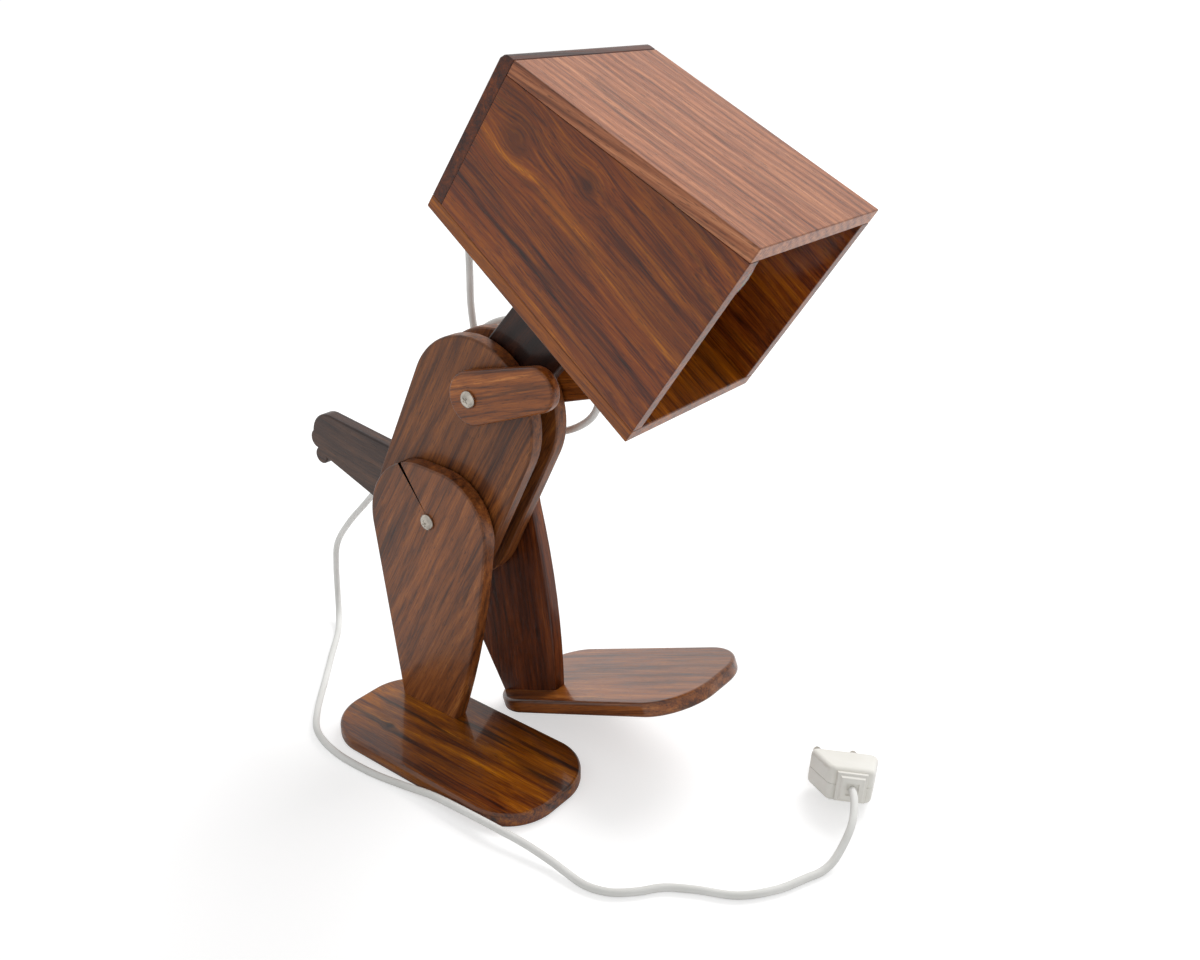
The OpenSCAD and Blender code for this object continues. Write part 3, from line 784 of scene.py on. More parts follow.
def cut_cross(
    screw: bpy.types.Object, width: float, slot: float, deep: float, top: float, degrees: float
) -> None:
    """Cuts a tapered cross recess into a screw's head.

    Args:
        screw: The screw.
        width: The cross's width, in millimetres.
        slot: The width of its arms.
        deep: Its depth.
        top: The height of the screw's top.
        degrees: The turn of the cross.
    """
    middle = (0, 0, (top + 1 - deep / 2) * MM)
    bpy.ops.object.select_all(action="DESELECT")
    depth = (deep + 2) * MM
    bpy.ops.mesh.primitive_cylinder_add(vertices=8, radius=0.72 * slot * MM, depth=depth, location=middle)
    core = bpy.context.object
    for quarter in (0, 90):
        bpy.ops.object.select_all(action="DESELECT")
        bpy.ops.mesh.primitive_cube_add(size=1, location=middle)
        arm = bpy.context.object
        arm.scale = (width * MM, slot * MM, depth)
        bpy.ops.object.transform_apply(location=True, rotation=True, scale=True)
        with bench(arm) as mesh:
            pick(arm, mesh.faces, lambda face: face.normal.z < -0.9)
            bpy.ops.transform.resize(value=(0.45, 0.7, 1.0), center_override=(0, 0, 0))
        settle(arm, turn(quarter, "Z"))
        cut_away(core, arm, "UNION")
    settle(core, turn(degrees, "Z"))
    cut_away(screw, core)
    smooth(screw)


def dress(obj: bpy.types.Object, *skins: bpy.types.Material) -> None:
    """Gives a piece its materials in place of any that it had.

    Args:
        obj: The piece.
        *skins: The materials.
    """
    obj.data.materials.clear()
    for skin in skins:
        obj.data.materials.append(skin)


def node_of(name: str) -> str:
    """Gives the solid that a piece stands for, whose name the piece's has before its last word."""
    return name.rpartition("_")[0]


def seat(obj: bpy.types.Object, body: str, slot: str) -> bpy.types.Object:
    """Hangs a finished piece on its body in place of its solid.

    Args:
        obj: The piece.
        body: The body that it moves with.
        slot: The record's material slot; not used.

    Returns:
        The piece.
    """
    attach(obj, body)
    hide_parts(node_of(obj.name))
    log.info("%s: %d faces", obj.name, len(obj.data.polygons))
    return obj


# --- studio -----------------------------------------------------------------------------


@dataclass
class Studio:
    """The camera, the white floor and the plain soft light."""

    camera_at: Vector = field(default_factory=lambda: Vector((0.3513, -0.3844, 0.3809)))
    azimuth: float = math.radians(37.94)
    elevation: float = math.radians(23.81)
    roll: float = math.radians(0.17)
    lens: float = 34.38
    floor_size: float = 80.0
    sky: float = 0.75
    glow: float = 0.55

    def build(self) -> None:
        """Sets up the camera, the floor and the lamps."""
        self.place_camera()
        self.lay_floor()
        self.light_world()
        self.hang_lamps()
        bpy.context.scene.view_settings.view_transform = "Standard"

    def place_camera(self) -> None:
        """Puts the camera where the photograph was taken from."""
        level = math.cos(self.elevation)
        back = Vector(
            (math.sin(self.azimuth) * level, -math.cos(self.azimuth) * level, math.sin(self.elevation))
        )
        right = Way.UP.vector.cross(back).normalized()
        above = back.cross(right)
        over = right * math.cos(self.roll) + above * math.sin(self.roll)
        upward = above * math.cos(self.roll) - right * math.sin(self.roll)
        data = bpy.data.cameras.new("camera")
        data.lens = self.lens
        data.sensor_width = 36.0
        data.clip_start = 0.01
        data.clip_end = 200.0
        camera = bpy.data.objects.new("camera", data)
        bpy.context.scene.collection.objects.link(camera)
        facing = Matrix((over, upward, back)).transposed().to_4x4()
        camera.matrix_world = Matrix.Translation(self.camera_at) @ facing
        bpy.context.scene.camera = camera

    def lay_floor(self) -> None:
        """Lays the white floor, which keeps the lamp's shadow."""
        bpy.ops.object.select_all(action="DESELECT")
        bpy.ops.mesh.primitive_plane_add(size=self.floor_size, location=(0, 0, -0.15 * MM))
        floor = bpy.context.object
        floor.name = "floor"
        with bench(floor):
            bpy.ops.mesh.select_all(action="SELECT")
            bpy.ops.mesh.subdivide(number_cuts=8)
        recipe = Recipe(bpy.data.materials.new("white_floor"))
        camera_ray = recipe.add("ShaderNodeLightPath").outputs["Is Camera Ray"]
        cloud = recipe.noise(recipe.place, (3, 3, 3), 2.0).outputs[0]
        near = recipe.mix(cloud, paint(235, 235, 235), paint(237, 237, 237))
        seen = recipe.mix(cloud, paint(205, 205, 205), paint(207, 207, 207))
        plain = recipe.add("ShaderNodeBsdfDiffuse", {"Color": recipe.mix(camera_ray, near, seen)})
        glow = recipe.add("ShaderNodeEmission", {"Strength": recipe.math("MULTIPLY", camera_ray, self.glow)})
        both = recipe.add("ShaderNodeAddShader", {0: plain.outputs[0], 1: glow.outputs[0]})
        recipe.add("ShaderNodeOutputMaterial", {"Surface": both.outputs[0]})
        dress(floor, recipe.owner)

    def light_world(self) -> None:
        """Fills the room with light that shiny things and the camera see brighter."""
        world = bpy.data.worlds.new("white_room")
        bpy.context.scene.world = world
        room = Recipe(world)
        rays = room.add("ShaderNodeLightPath").outputs
        seen = room.math("MAXIMUM", rays["Is Camera Ray"], rays["Is Glossy Ray"])
        seen = room.math("MAXIMUM", seen, rays["Is Transmission Ray"])
        level = room.stretch(seen, 0.0, 1.0, self.sky, 1.0)
        background = room.add("ShaderNodeBackground", {"Strength": level})
        room.add("ShaderNodeOutputWorld", {"Surface": background.outputs[0]})

    def hang_lamps(self) -> None:
        """Hangs a soft sun and a softbox behind and above the lamp's left."""
        toward = Vector((0.0, 0.72, 0.68)).normalized()
        facing = toward.to_track_quat("Z", "Y").to_matrix().to_4x4()
        sun = bpy.data.lights.new("soft_sun", "SUN")
        sun.energy = 0.9
        sun.angle = math.radians(45)
        box = bpy.data.lights.new("softbox", "AREA")
        box.shape = "RECTANGLE"
        box.size = 1.5
        box.size_y = 1.0
        box.energy = 24.0
        for light, distance in ((sun, 4.0), (box, 2.4)):
            lamp = bpy.data.objects.new(light.name, light)
            bpy.context.scene.collection.objects.link(lamp)
            lamp.visible_glossy = False
            lamp.matrix_world = Matrix.Translation(Vector((0, 0, 0.25)) + distance * toward) @ facing


# --- cord -------------------------------------------------------------------------------


@dataclass
class Cord:
    """The white mains cord: down behind the shade, once round the shoulder and off to the plug."""

    thick: float = 3.8 * MM
    samples: int = 6
    bend_from: float = 0.300
    bend_to: float = 0.225
    leaves: Vector = field(default_factory=lambda: slope(180 - 36.2))
    enters: Vector = field(default_factory=lambda: Vector((-0.5839, 0.7749, -0.2419)))
    route: tuple[Point, ...] = (
        (-13.17, 14, 315.11), (-25.5, 14, 319), (-37.5, 15, 314.5), (-45, 17, 302.5), (-46.5, 19.5, 284),
        (-48.5, 22, 264), (-50.5, 24, 244), (-51.5, 25, 225), (-48, 25, 206), (-39, 25, 189),
        (-24, 25, 175), (-5, 24.5, 170), (13, 24, 174), (28, 24, 184.5), (32.5, 24.5, 198),
        (27.5, 25.5, 211), (13, 27, 220), (-10, 28, 223.5), (-30, 29, 222), (-47, 29, 214), (-62, 29, 198),
        (-80, 28, 172), (-99, 27, 142), (-144, 26, 92), (-166, 26, 69), (-180, 26, 50), (-183, 25.5, 33),
        (-181, 23, 17), (-173, 16, 5.5), (-160, 4, 2.2), (-143, -15, 2.2), (-124, -36, 2), (-104, -58, 2),
        (-88, -71, 2), (-66, -77, 2), (-40, -77, 2), (-18, -74, 2.4), (2, -72, 4.4), (24, -71.8, 5.8),
        (44, -71.4, 6.2), (62, -70.2, 5.2), (78, -70, 3.6), (86, -70.6, 3), (99, -71, 2),
        (110.5, -67.5, 2), (120, -59.5, 2), (128, -50, 2), (140.5, -42, 2), (157, -33.5, 2),
        (169, -19.5, 2), (176, -5, 2.1), (180, 4.5, 2.3), (182, 14, 6), (181, 29, 14.5),
        (171.63, 47.11, 16.88),
    )

    def line(self) -> list[Vector]:
        """Draws the smooth line through the route, as points close together."""
        points = [Vector(point) * MM for point in self.route]
        last = len(points) - 1
        ways = [(points[i + 1] - points[i - 1]) / 2 for i in range(1, last)]
        ways.insert(0, self.leaves * (points[1] - points[0]).length)
        ways.append(self.enters * (points[last] - points[last - 1]).length)
        drawn = []
        for i in range(last):
            for step in range(self.samples):
                t = step / self.samples
                drawn.append(
                    (2 * t**3 - 3 * t**2 + 1) * points[i]
                    + (t**3 - 2 * t**2 + t) * ways[i]
                    + (3 * t**2 - 2 * t**3) * points[i + 1]
                    + (t**3 - t**2) * ways[i + 1]
                )
        return drawn + [points[last]]

    def build(self) -> bpy.types.Object:
        """Makes the cord as one tube and returns it."""
        path = self.line()
        data = bpy.data.curves.new("mains_cord", "CURVE")
        data.dimensions = "3D"
        data.bevel_depth = self.thick / 2
        data.bevel_resolution = 4
        data.use_fill_caps = True
        spline = data.splines.new("POLY")
        spline.points.add(len(path) - 1)
        for point, at in zip(spline.points, path):
            point.co = (*at, 1.0)
        cord = bpy.data.objects.new("mains_cord", data)
        bpy.context.scene.collection.objects.link(cord)
        lone(cord)
        bpy.ops.object.convert(target="MESH")
        cord = bpy.context.object
        bpy.ops.object.shade_smooth()
        dress(cord, CORD_SKIN.dress())
        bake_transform(cord)
        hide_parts("cord_upper", "cord_main")
        log.info("mains_cord: %d faces", len(cord.data.polygons))
        return cord

    def declare(self) -> None:
        """Works out the cord's first point and its length along the line, and leaves both unused.
        """
        path = self.line()
        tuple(path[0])
        sum((b - a).length for a, b in zip(path, path[1:]))


# --- places -----------------------------------------------------------------------------


def shade_place() -> Matrix:
    """Gives the shade's own frame: X along its bottom to the front, Z square to the bottom."""
    return Matrix.Translation(SHADE_AT) @ turn(SHADE_PITCH, "Y")


def holder_place() -> Matrix:
    """Gives the lamp holder's frame: Z along the holder, from the back board's inner face."""
    return shade_place() @ shift(4.943, 0.0, 47.4) @ turn(90 - 5.5, "Y")


def cord_hole_place() -> Matrix:
    """Gives the cord hole's frame: Z out of the shade's back."""
    lean = math.radians(BACK_LEAN)
    return shade_place() @ shift(-14 * math.sin(lean), 14.0, 14 * math.cos(lean)) @ turn(-90 - BACK_LEAN, "Y")


def plug_place() -> Matrix:
    """Gives the tilted plug's frame: Y from the cord towards the pins, Z square to its seam."""
    return shift(169.0, 50.6, 15.788) @ turn(37, "Z") @ turn(-14, "X") @ turn(6.5, "Y")


def left_leg_place() -> Matrix:
    """Gives the swung left leg's frame, from the hip."""
    return Matrix.Translation(HIP) @ turn(-LEFT_SWING, "Y")


def holder_screw_places() -> list[Matrix]:
    """Gives the frames of the holder's two screws, from the base's front."""
    return [holder_place() @ shift(0, y, 7) for y in (-19, 19)]


def wood_screw_places(node: str) -> list[Matrix]:
    """Gives the frames of a node's wood screws: the origin on the head's top, Z out of it.

    Args:
        node: The node of the screws.

    Returns:
        One frame for each screw.
    """
    if node == "neck_screws":
        return [shade_place() @ shift(x, 0, 6.2) for x in NECK_SCREWS]
    right = node == "right_foot_screws"
    leg, y, drop = (Matrix.Translation(HIP), -18, HIP_H) if right else (left_leg_place(), 18, LEFT_DROP)
    return [leg @ shift(x, y, -drop) @ turn(180, "X") for x in FOOT_SCREWS]


def hole_line(place: Matrix, reach: float) -> tuple[Vector, Vector, float]:
    """Gives the Z axis of a frame as the line of a hole, with the hole's reach from millimetres."""
    return (place.translation, (place.to_3x3() @ Way.UP.vector).normalized(), reach * MM)


NECK_HOLES, RIGHT_HOLES, LEFT_HOLES = (
    [hole_line(place, 4.4) for place in wood_screw_places(node)]
    for node in ("neck_screws", "right_foot_screws", "left_foot_screws")
)
SCREW_LINES: dict[str, list[tuple[Vector, Vector, float]]] = {
    "neck_board": NECK_HOLES,
    "shade_bottom_board": NECK_HOLES,
    "right_leg": RIGHT_HOLES,
    "right_foot": RIGHT_HOLES,
    "left_leg": LEFT_HOLES,
    "left_foot": LEFT_HOLES,
    "shade_back_board": [hole_line(place, 3.4) for place in holder_screw_places()]
    + [hole_line(cord_hole_place(), 3.0)],
}


# --- sub-assemblies ---------------------------------------------------------------------


@dataclass
class Board:
    """One rosewood board, cut to its solid's outline, with rounded edges in a darker copy of its wood."""

    node: str
    body: str
    slot: str
    wood: Wood
    grain: Vector
    face: Vector
    edge: float = 1.2 * MM
    bores: tuple[Vector, ...] = ()
    seats: tuple[tuple[Vector, Vector], ...] = ()
    blunt: tuple[Vector, float] | None = None
    cuts: tuple[tuple[Vector, Vector], ...] = ()
    knots: tuple[Knot, ...] = ()

    def build(self) -> None:
        """Cuts, rounds and varnishes the board."""
        cuts = self.cuts + tuple((bore, Way.FORWARD.vector) for bore in self.bores)
        piece = merged(f"{self.node}_wood", cuts)
        low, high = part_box(self.node)
        laid = (self.node, self.grain, self.face, (low + high) / 2, self.knots)
        dress(piece, self.wood.dress(*laid), self.wood.dress(*laid, darkened_edge=True))
        if self.blunt:
            round_edges(piece, self._is_blunt, self.blunt[1], 4, material=1)
        round_edges(piece, self._is_outline, self.edge, 3, material=1)
        smooth(piece)
        seat(piece, self.body, self.slot)

    def _is_blunt(self, edge: Any) -> bool:
        """Tells whether an edge is the corner with the bigger rounding."""
        return is_corner(edge) and near_line(edge, self.blunt[0], Way.ACROSS.vector, 0.5 * MM)

    def _is_outline(self, edge: Any) -> bool:
        """Tells whether an edge is rounded: a corner, and neither on a hole's rim nor on a seat.

        Args:
            edge: The edge.

        Returns:
            True if it is rounded.
        """
        if not is_corner(edge):
            return False
        if any(all(abs((vert.co - at).dot(way)) < 0.6 * MM for vert in edge.verts) for at, way in self.seats):
            return False
        holes = [(bore, Way.ACROSS.vector, 4.0 * MM) for bore in self.bores] + SCREW_LINES.get(self.node, [])
        return not any(near_line(edge, *hole) for hole in holes)


@dataclass
class Torso:
    """The two body panels with the long screws, nuts and washers that everything turns on."""

    shaft_r: float = 2.5
    head_r: float = 4.4
    head_h: float = 2.8
    dome_r: float = 6.6
    nut_flats: float = 8.0
    nut_h: float = 4.0
    tail_out: float = 1.5

    def build(self) -> None:
        """Builds the panels and the fittings."""
        for node in ("right_body_panel", "left_body_panel"):
            face = Way.ACROSS.vector
            Board(node, "torso", "wood_red", BODY, slope(60), face, bores=(HIP, SHOULDER)).build()
        for name, at, out, degrees in BOLTS:
            self.build_bolt(f"{name}_nickel", at, out, degrees)
        self.build_nuts()
        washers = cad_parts["washers"]
        dress(washers, NICKEL.dress())
        log.info("washers: %d faces", len(washers.data.polygons))

    def build_bolt(self, name: str, at: Vector, out: float, degrees: float) -> None:
        """Turns a machine screw and cuts its cross recess.

        Args:
            name: The screw's name.
            at: The screw's axis.
            out: The distance of the outer board's face from the middle plane, in millimetres.
            degrees: The turn of the recess.
        """
        grip = out + 0.05
        total = 2 * grip + 1.0 + self.nut_h + self.tail_out
        outline: Outline = [(0.0, self.head_h)]
        for step in range(1, 9):
            angle = math.radians(step * 37 / 8)
            outline.append((self.dome_r * math.sin(angle), self.head_h - self.dome_r * (1 - math.cos(angle))))
        outline += [(4.22, 1.15), (4.36, 0.9), (self.head_r, 0.6), (self.head_r, 0.2)]
        outline += [(4.25, 0.0), (self.shaft_r, 0.0)]
        depth = 0.0
        while depth < total - 7.0:
            depth = min(depth + 6.0, total - 7.0)
            outline.append((self.shaft_r, -depth))
        outline += thread(self.shaft_r, 0.32, depth, total - 1.0, (0.1, 0.4, 0.7), 0.8)
        outline += [(1.9, -total), (0.0, -total)]
        bolt = turned(name, outline, 56)
        cut_cross(bolt, 5.0, 1.15, 1.3, self.head_h, degrees)
        settle(bolt, Matrix.Translation(at) @ shift(0, -grip, 0) @ turn(90, "X"))
        dress(bolt, NICKEL.dress())
        seat(bolt, "torso", "nickel")

    def build_nuts(self) -> None:
        """Makes the two hexagon nuts with chamfered corners."""
        corner = self.nut_flats / math.cos(math.radians(30)) / 2
        bpy.ops.object.select_all(action="DESELECT")
        bpy.ops.mesh.primitive_cylinder_add(vertices=6, radius=corner * MM, depth=self.nut_h * MM)
        nut = bpy.context.object
        nut.name = "bolt_nuts_nickel"
        rim = turned("nut_rim", [(0, -2), (4.0, -2), (4.62, -1.64), (4.62, 1.64), (4.0, 2), (0, 2)], 48)
        cut_away(nut, rim, "INTERSECT")
        bore = turned("nut_bore", [(0, -3), (3.2, -3), (2.52, -1.6), (2.52, 1.6), (3.2, 3), (0, 3)], 40)
        cut_away(nut, bore)
        smooth(nut, 20)
        places = [
            Matrix.Translation(at) @ shift(0, out + 1.05 + self.nut_h / 2, 0) @ turn(90, "X") @ turn(17, "Z")
            for _, at, out, _ in BOLTS
        ]
        pair = repeated(nut, places)
        dress(pair, NICKEL.dress())
        seat(pair, "torso", "nickel")


@dataclass
class WoodScrews:
    """Countersunk wood screws with cross recesses."""

    head_r: float = 3.5
    head_h: float = 2.2
    shank_r: float = 1.75
    length: float = 26.0

    def build(self, node: str, body: str) -> None:
        """Turns the screws of one node.

        Args:
            node: The node of the screws.
            body: The body that they move with.
        """
        outline: Outline = [(0, 0), (self.head_r - 0.2, 0), (self.head_r, -0.15)]
        outline += [(self.shank_r, -self.head_h), (self.shank_r, -9.0)]
        outline += thread(self.shank_r, 0.5, 9.0, self.length - 5.0, (0.15, 0.75, 1.4), 1.5)
        outline += [(0.9, -self.length + 1.6), (0.0, -self.length)]
        screws = turned(f"{node}_steel", outline, 32)
        cut_cross(screws, 3.6, 0.9, 1.3, 0.0, 30)
        dress(screws, SCREW_STEEL.dress())
        seat(repeated(screws, wood_screw_places(node)), body, "screw_steel")


@dataclass
class Shade:
    """The box shade: five boards glued edge to edge, on its neck."""

    fine_edge: float = 0.55 * MM
    side_edge: float = 0.4 * MM
    neck_edge: float = 1.1 * MM
    rear_corner_r: float = 3.0 * MM

    def build(self) -> None:
        """Builds the five boards, the neck board and its screws."""
        along, square = slope(-SHADE_PITCH), slope(90 - SHADE_PITCH)
        across = Way.ACROSS.vector
        place = shade_place()
        top_rear = place @ (Vector((-1.89, 0, 77.18)) * MM)
        swirls = tuple(
            Knot(tuple(place @ (Vector((x, -45, z)) * MM)), radius * MM, darkness)
            for x, z, radius, darkness in ((22, 56, 6, 0.55), (58, 66, 4, 0.5))
        )
        for side, wood, grain, face, edge, extra in (
            # the top board's wood carries a painted highlight: its tones are paler for the glare
            ("top", SHADE_TOP_GLARE_PALE, slope(-TOP_PITCH), slope(90 - TOP_PITCH), self.fine_edge, {}),
            ("bottom", SHADE_FLOOR, along, square, self.fine_edge, {}),
            ("back", SHADE_DARK, across, along, self.fine_edge, {"blunt": (top_rear, self.rear_corner_r)}),
            ("right", SHADE_SIDE, along, across, self.side_edge, {"knots": swirls}),
            ("left", SHADE_SIDE, along, across, self.side_edge, {}),
        ):
            Board(f"shade_{side}_board", "head", "wood_shade", wood, grain, face, edge, **extra).build()
        neck = {"bores": (SHOULDER,), "seats": ((SHADE_AT, square),)}
        Board("neck_board", "head", "wood_dark", NECK, slope(48), across, self.neck_edge, **neck).build()
        WoodScrews().build("neck_screws", "head")


@dataclass
class Holder:
    """The glazed lamp holder with its screws, the opal bulb and the cord's bushing."""

    globe_r: float = 30.0
    globe_at: float = 79.97
    globe_meets: float = 128.0
    cap_r: float = 13.0
    cap_at: float = 3.57
    cap_l: float = 26.0

    def build(self) -> None:
        """Builds the holder, the bulb and the bushing."""
        self.build_base()
        self.build_body()
        self.build_screws()
        self.build_cap()
        self.build_globe()
        self.build_bushing()

    def fit(self, piece: bpy.types.Object, place: Matrix, slot: str, skin: bpy.types.Material) -> None:
        """Puts a turned piece in its place on the head.

        Args:
            piece: The piece.
            place: Its place.
            slot: The record's material slot.
            skin: Its material.
        """
        settle(piece, place)
        dress(piece, skin)
        seat(piece, "head", slot)

    def build_base(self) -> None:
        """Rounds the base's rim."""
        base = merged("lamp_holder_base_glazed")
        back = holder_place().inverted()

        def is_rim(edge: Any) -> bool:
            """Tells whether an edge is the outer rim of the base's front."""
            ends = [back @ vert.co for vert in edge.verts]
            return is_corner(edge) and all(e.z > 6.5 * MM and e.xy.length > 22 * MM for e in ends)

        round_edges(base, is_rim, 1.8 * MM, 5)
        smooth(base)
        dress(base, GLAZE.dress())
        seat(base, "head", "holder_white")

    def build_body(self) -> None:
        """Turns the holder's body with its waist and thick lip."""
        outline = [(13.4, 7.0), (15.7, 7.0), (15.9, 7.4), (15.9, 11.0), (15.3, 12.0), (15.1, 13.0)]
        outline += [(15.1, 24.0), (15.4, 25.2), (16.0, 26.0), (16.0, 28.0), (15.6, 28.8), (14.9, 29.0)]
        outline += [(14.0, 28.9), (13.5, 28.4), (13.4, 27.5), (13.4, 7.0)]
        body = turned("lamp_holder_body_glazed", outline, 64)
        self.fit(body, holder_place(), "holder_white", GLAZE.dress())

    def build_screws(self) -> None:
        """Makes the holder's two round-head screws."""
        outline: Outline = [(0.0, 1.6), (1.2, 1.5), (2.2, 1.1), (2.7, 0.5), (2.8, 0.0), (1.5, 0.0)]
        outline += thread(1.5, 0.35, 0.0, 10.0, (0.2, 0.5, 0.8), 1.0)
        screws = turned("holder_screws_steel", outline + [(0.0, -11.0)], 28)
        cut_cross(screws, 2.8, 0.7, 0.9, 1.6, 15)
        dress(screws, SCREW_STEEL.dress())
        seat(repeated(screws, holder_screw_places()), "head", "screw_steel")

    def build_cap(self) -> None:
        """Turns the bulb's threaded cap."""
        start, end = self.cap_at, self.cap_at + self.cap_l
        outline: Outline = [(0.0, start), (4.5, start), (5.2, start + 0.8)]
        outline += [(9.5, start + 1.8), (11.6, start + 3.2)]
        height = start + 3.6
        while height < end - 4.0:
            outline += [(12.1, height), (12.6, height + 0.7), (13.0, height + 1.6), (12.6, height + 2.5)]
            height += 3.5
        outline += [(12.8, end - 2.5), (13.0, end - 2.0), (13.0, end), (0.0, end)]
        self.fit(turned("bulb_cap_metal", outline, 64), holder_place(), "cap_metal", CAP_METAL.dress())

    def build_globe(self) -> None:
        """Turns the opal globe with its flared neck."""
        start = self.cap_at + self.cap_l
        outline: Outline = [(0.0, start), (self.cap_r, start)]
        join_r = self.globe_r * math.sin(math.radians(self.globe_meets))
        join_z = self.globe_at + self.globe_r * math.cos(math.radians(self.globe_meets))
        for step in range(1, 12):
            t = step / 12
            ease = t * t * (3 - 2 * t)
            radius = self.cap_r + (join_r - self.cap_r) * (0.35 * t + 0.65 * ease * t)
            outline.append((radius, start + (join_z - start) * t))
        for step in range(0, 29):
            angle = math.radians(self.globe_meets * (1 - step / 28))
            outline.append((self.globe_r * math.sin(angle), self.globe_at + self.globe_r * math.cos(angle)))
        self.fit(turned("bulb_globe_opal", outline, 72), holder_place(), "bulb_glass", OPAL.dress())

    def build_bushing(self) -> None:
        """Turns the tapered bushing with its ribs and flange."""
        outline: Outline = [(1.95, 0.0), (5.5, 0.0), (5.5, 1.1), (5.2, 1.6), (4.3, 1.6)]
        for rib in range(5):
            low = 3.0 + 3.2 * rib
            wide = 3.95 - 0.2 * rib
            outline += [(wide, low), (wide, low + 1.9), (wide - 0.55, low + 2.1), (wide - 0.55, low + 3.0)]
        outline += [(3.0, 19.2), (2.85, 20.0), (1.95, 20.0), (1.95, 0.0)]
        bushing = turned("cord_bushing_ribbed", outline, 40)
        self.fit(bushing, cord_hole_place(), "bushing_white", BUSHING_SKIN.dress())


@dataclass
class Limbs:
    """The arms, legs, feet and tail."""

    arm_edge: float = 1.5 * MM
    leg_edge: float = 1.2 * MM
    foot_edge: float = 1.8 * MM
    tail_edge: float = 1.0 * MM

    def build(self) -> None:
        """Builds the limbs and the feet's screws."""
        across = Way.ACROSS.vector
        for side, rise in (("right", 17.5), ("left", 14.0)):
            body, extra = f"{side}_arm_body", {"bores": (SHOULDER,)}
            self.build_board(f"{side}_arm", body, ARM, slope(rise), across, self.arm_edge, **extra)
        self.build_legs()
        self.build_feet()
        tail = Board("tail_board", "tail_body", "wood_dark", TAIL, slope(-10), across, self.tail_edge, (HIP,))
        tail.build()

    def build_board(
        self, node: str, body: str, wood: Wood, grain: Vector, face: Vector, edge: float, **extra: Any
    ) -> None:
        """Builds one red board from its values as a Board's."""
        Board(node, body, "wood_red", wood, grain, face, edge, **extra).build()

    def build_legs(self) -> None:
        """Builds the two legs, which stand square on their feet, with the screws under them."""
        up = Way.UP.vector
        leaning = left_leg_place().to_3x3() @ up
        left_seat = left_leg_place() @ (Vector((0, 0, FOOT_H - LEFT_DROP)) * MM)
        for side, wood, grain, seat_at in (
            ("right", LEG, slope(60), (Vector((0, 0, FOOT_H)) * MM, up)),
            ("left", LEG_DARK, slope(98), (left_seat, leaning)),
        ):
            body, extra = f"{side}_leg_body", {"bores": (HIP,), "seats": (seat_at,)}
            self.build_board(f"{side}_leg", body, wood, grain, Way.ACROSS.vector, self.leg_edge, **extra)
            WoodScrews().build(f"{side}_foot_screws", body)

    def build_feet(self) -> None:
        """Builds the two feet."""
        knot = Knot((-54.6 * MM, -48.8 * MM, 8.0 * MM), 2.1 * MM, 0.95)
        for side, wood, grain, face, y, knots in (
            ("right", FOOT_DARK, Way.FORWARD.vector, Way.UP.vector, -18, (knot,)),
            # the left foot's wood carries a painted reflection: paler, greyer tones
            ("left", FOOT_PAINTED_SHEEN, slope(22), slope(112), 18, ()),
        ):
            extra = {"cuts": ((Vector((0, y, 0)) * MM, Way.ACROSS.vector),), "knots": knots}
            self.build_board(f"{side}_foot", f"{side}_leg_body", wood, grain, face, self.foot_edge, **extra)


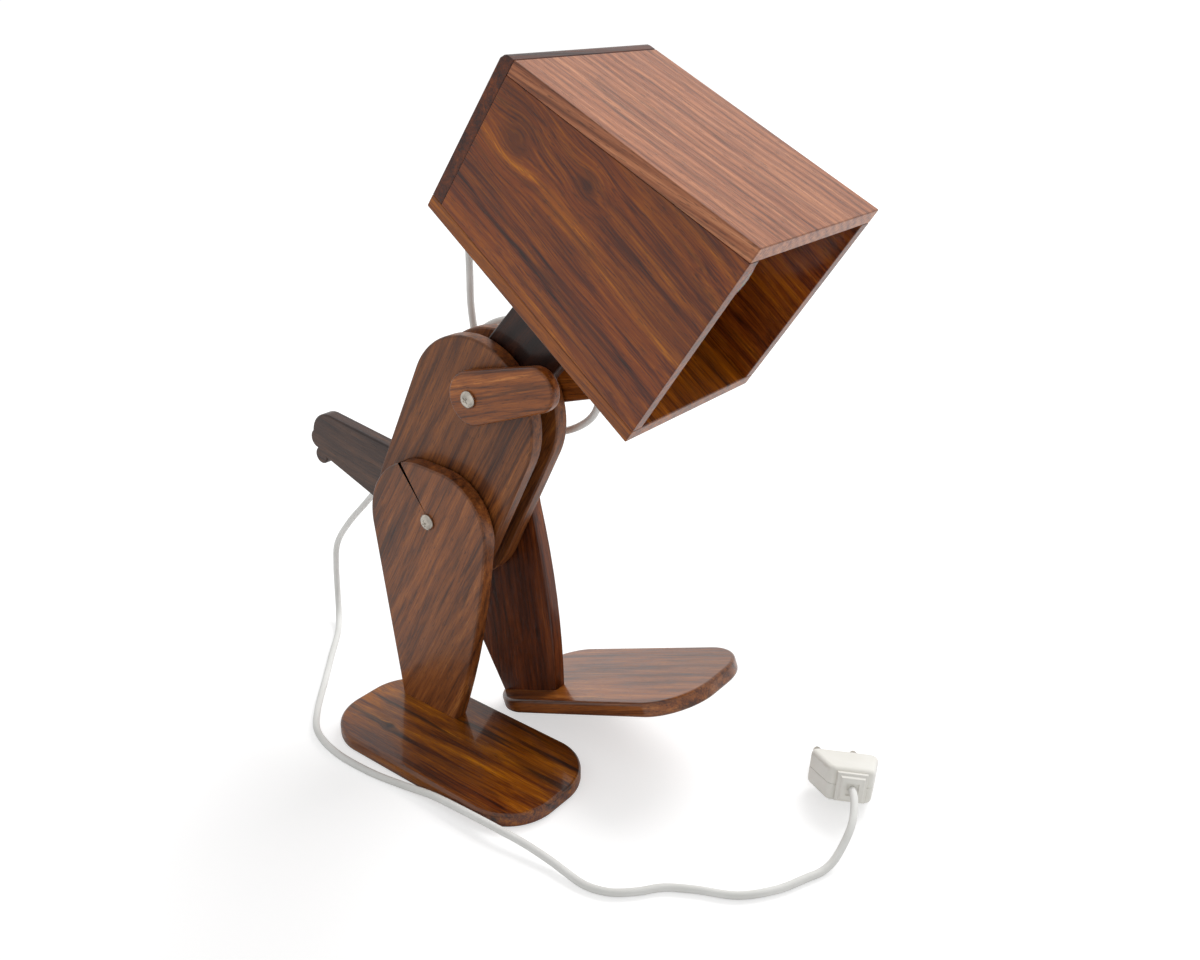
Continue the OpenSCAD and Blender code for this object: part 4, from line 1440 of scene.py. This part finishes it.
@dataclass
class Plug:
    """The ivory plug: two shells, the stepped boss round the cord and two round pins."""

    shell_r: float = 2.6 * MM
    seam_r: float = 0.35 * MM
    half_h: float = 8.9
    boss_w: float = 15.0
    boss_l: float = 4.5
    pin_r: float = 2.2
    pin_l: float = 19.0
    pin_pitch: float = 19.0
    shell_l: float = 23.5

    def build(self) -> list[bpy.types.Object]:
        """Builds the plug and returns its pieces."""
        sides = (("lower", -self.half_h), ("upper", self.half_h))
        shells = [self.build_shell(f"plug_{side}_shell", outer) for side, outer in sides]
        return shells + [self.build_boss(), self.build_pins()]

    def build_shell(self, node: str, outer: float) -> bpy.types.Object:
        """Rounds a half shell: well rounded outside, a fine seam where the halves meet.

        Args:
            node: The solid that it stands for.
            outer: The height of its outer face, in millimetres.

        Returns:
            The shell.
        """
        shell = merged(f"{node}_ivory")
        back = plug_place().inverted()
        for height, width, steps in ((outer, self.shell_r, 5), (0.0, self.seam_r, 2)):

            def at_height(edge: Any, level: float = height) -> bool:
                """Tells whether an edge lies at the level that is being rounded."""
                ends = [back @ vert.co for vert in edge.verts]
                return is_corner(edge) and all(abs(end.z - level * MM) < 0.05 * MM for end in ends)

            round_edges(shell, at_height, width, steps)
        smooth(shell)
        dress(shell, PLUG_SKIN.dress())
        return seat(shell, "torso", "plug_ivory")

    def build_boss(self) -> bpy.types.Object:
        """Makes the stepped boss that holds the cord, and returns it."""
        bpy.ops.object.select_all(action="DESELECT")
        bpy.ops.mesh.primitive_cube_add(size=1)
        boss = bpy.context.object
        boss.name = "plug_outlet_ivory"
        boss.scale = (self.boss_w * MM, self.boss_l * MM, self.boss_w * MM)
        bpy.ops.object.transform_apply(location=True, rotation=True, scale=True)
        with bench(boss) as mesh:
            pick(boss, mesh.faces, lambda face: face.normal.y < -0.9)
            bpy.ops.transform.translate(value=(0, 2.0 * MM, 0))
            bpy.ops.mesh.inset(thickness=1.6 * MM)
            bpy.ops.mesh.extrude_region_move(TRANSFORM_OT_translate={"value": (0, -2.0 * MM, 0)})
            bpy.ops.mesh.inset(thickness=2.8 * MM)
            bpy.ops.mesh.extrude_region_move(TRANSFORM_OT_translate={"value": (0, 0.8 * MM, 0)})

        def is_long(edge: Any) -> bool:
            """Tells whether an edge is one of the boss's long corners."""
            return is_corner(edge) and edge.calc_length() > 6.5 * MM

        round_edges(boss, is_long, 0.9 * MM, 3, clamp=True)
        smooth(boss)
        settle(boss, plug_place() @ shift(0, -self.boss_l / 2, 0))
        dress(boss, PLUG_SKIN.dress())
        return seat(boss, "torso", "plug_ivory")

    def build_pins(self) -> bpy.types.Object:
        """Turns the two round pins with domed tips, and returns them."""
        tip = self.pin_l
        outline = [(0.0, 0.0)] + [(self.pin_r, height) for height in (0.0, 5.0, 10.0, tip - 1.8)]
        outline += [(2.05, tip - 1.0), (1.6, tip - 0.35), (0.9, tip - 0.05), (0.0, tip)]
        pins = turned("plug_pins_nickel", outline, 36)
        dress(pins, NICKEL.dress())
        sides = (-self.pin_pitch / 2, self.pin_pitch / 2)
        places = [plug_place() @ shift(x, self.shell_l, 0) @ turn(-90, "X") for x in sides]
        return seat(repeated(pins, places), "torso", "nickel")


def main() -> None:
    """Builds the studio and then the lamp, sub-assembly by sub-assembly."""
    Studio().build()
    cord = Cord()
    cord_piece = cord.build()
    Torso().build()
    Shade().build()
    Holder().build()
    Limbs().build()
    plug_pieces = Plug().build()
    cord.declare()


if __name__ == "__main__":
    main()
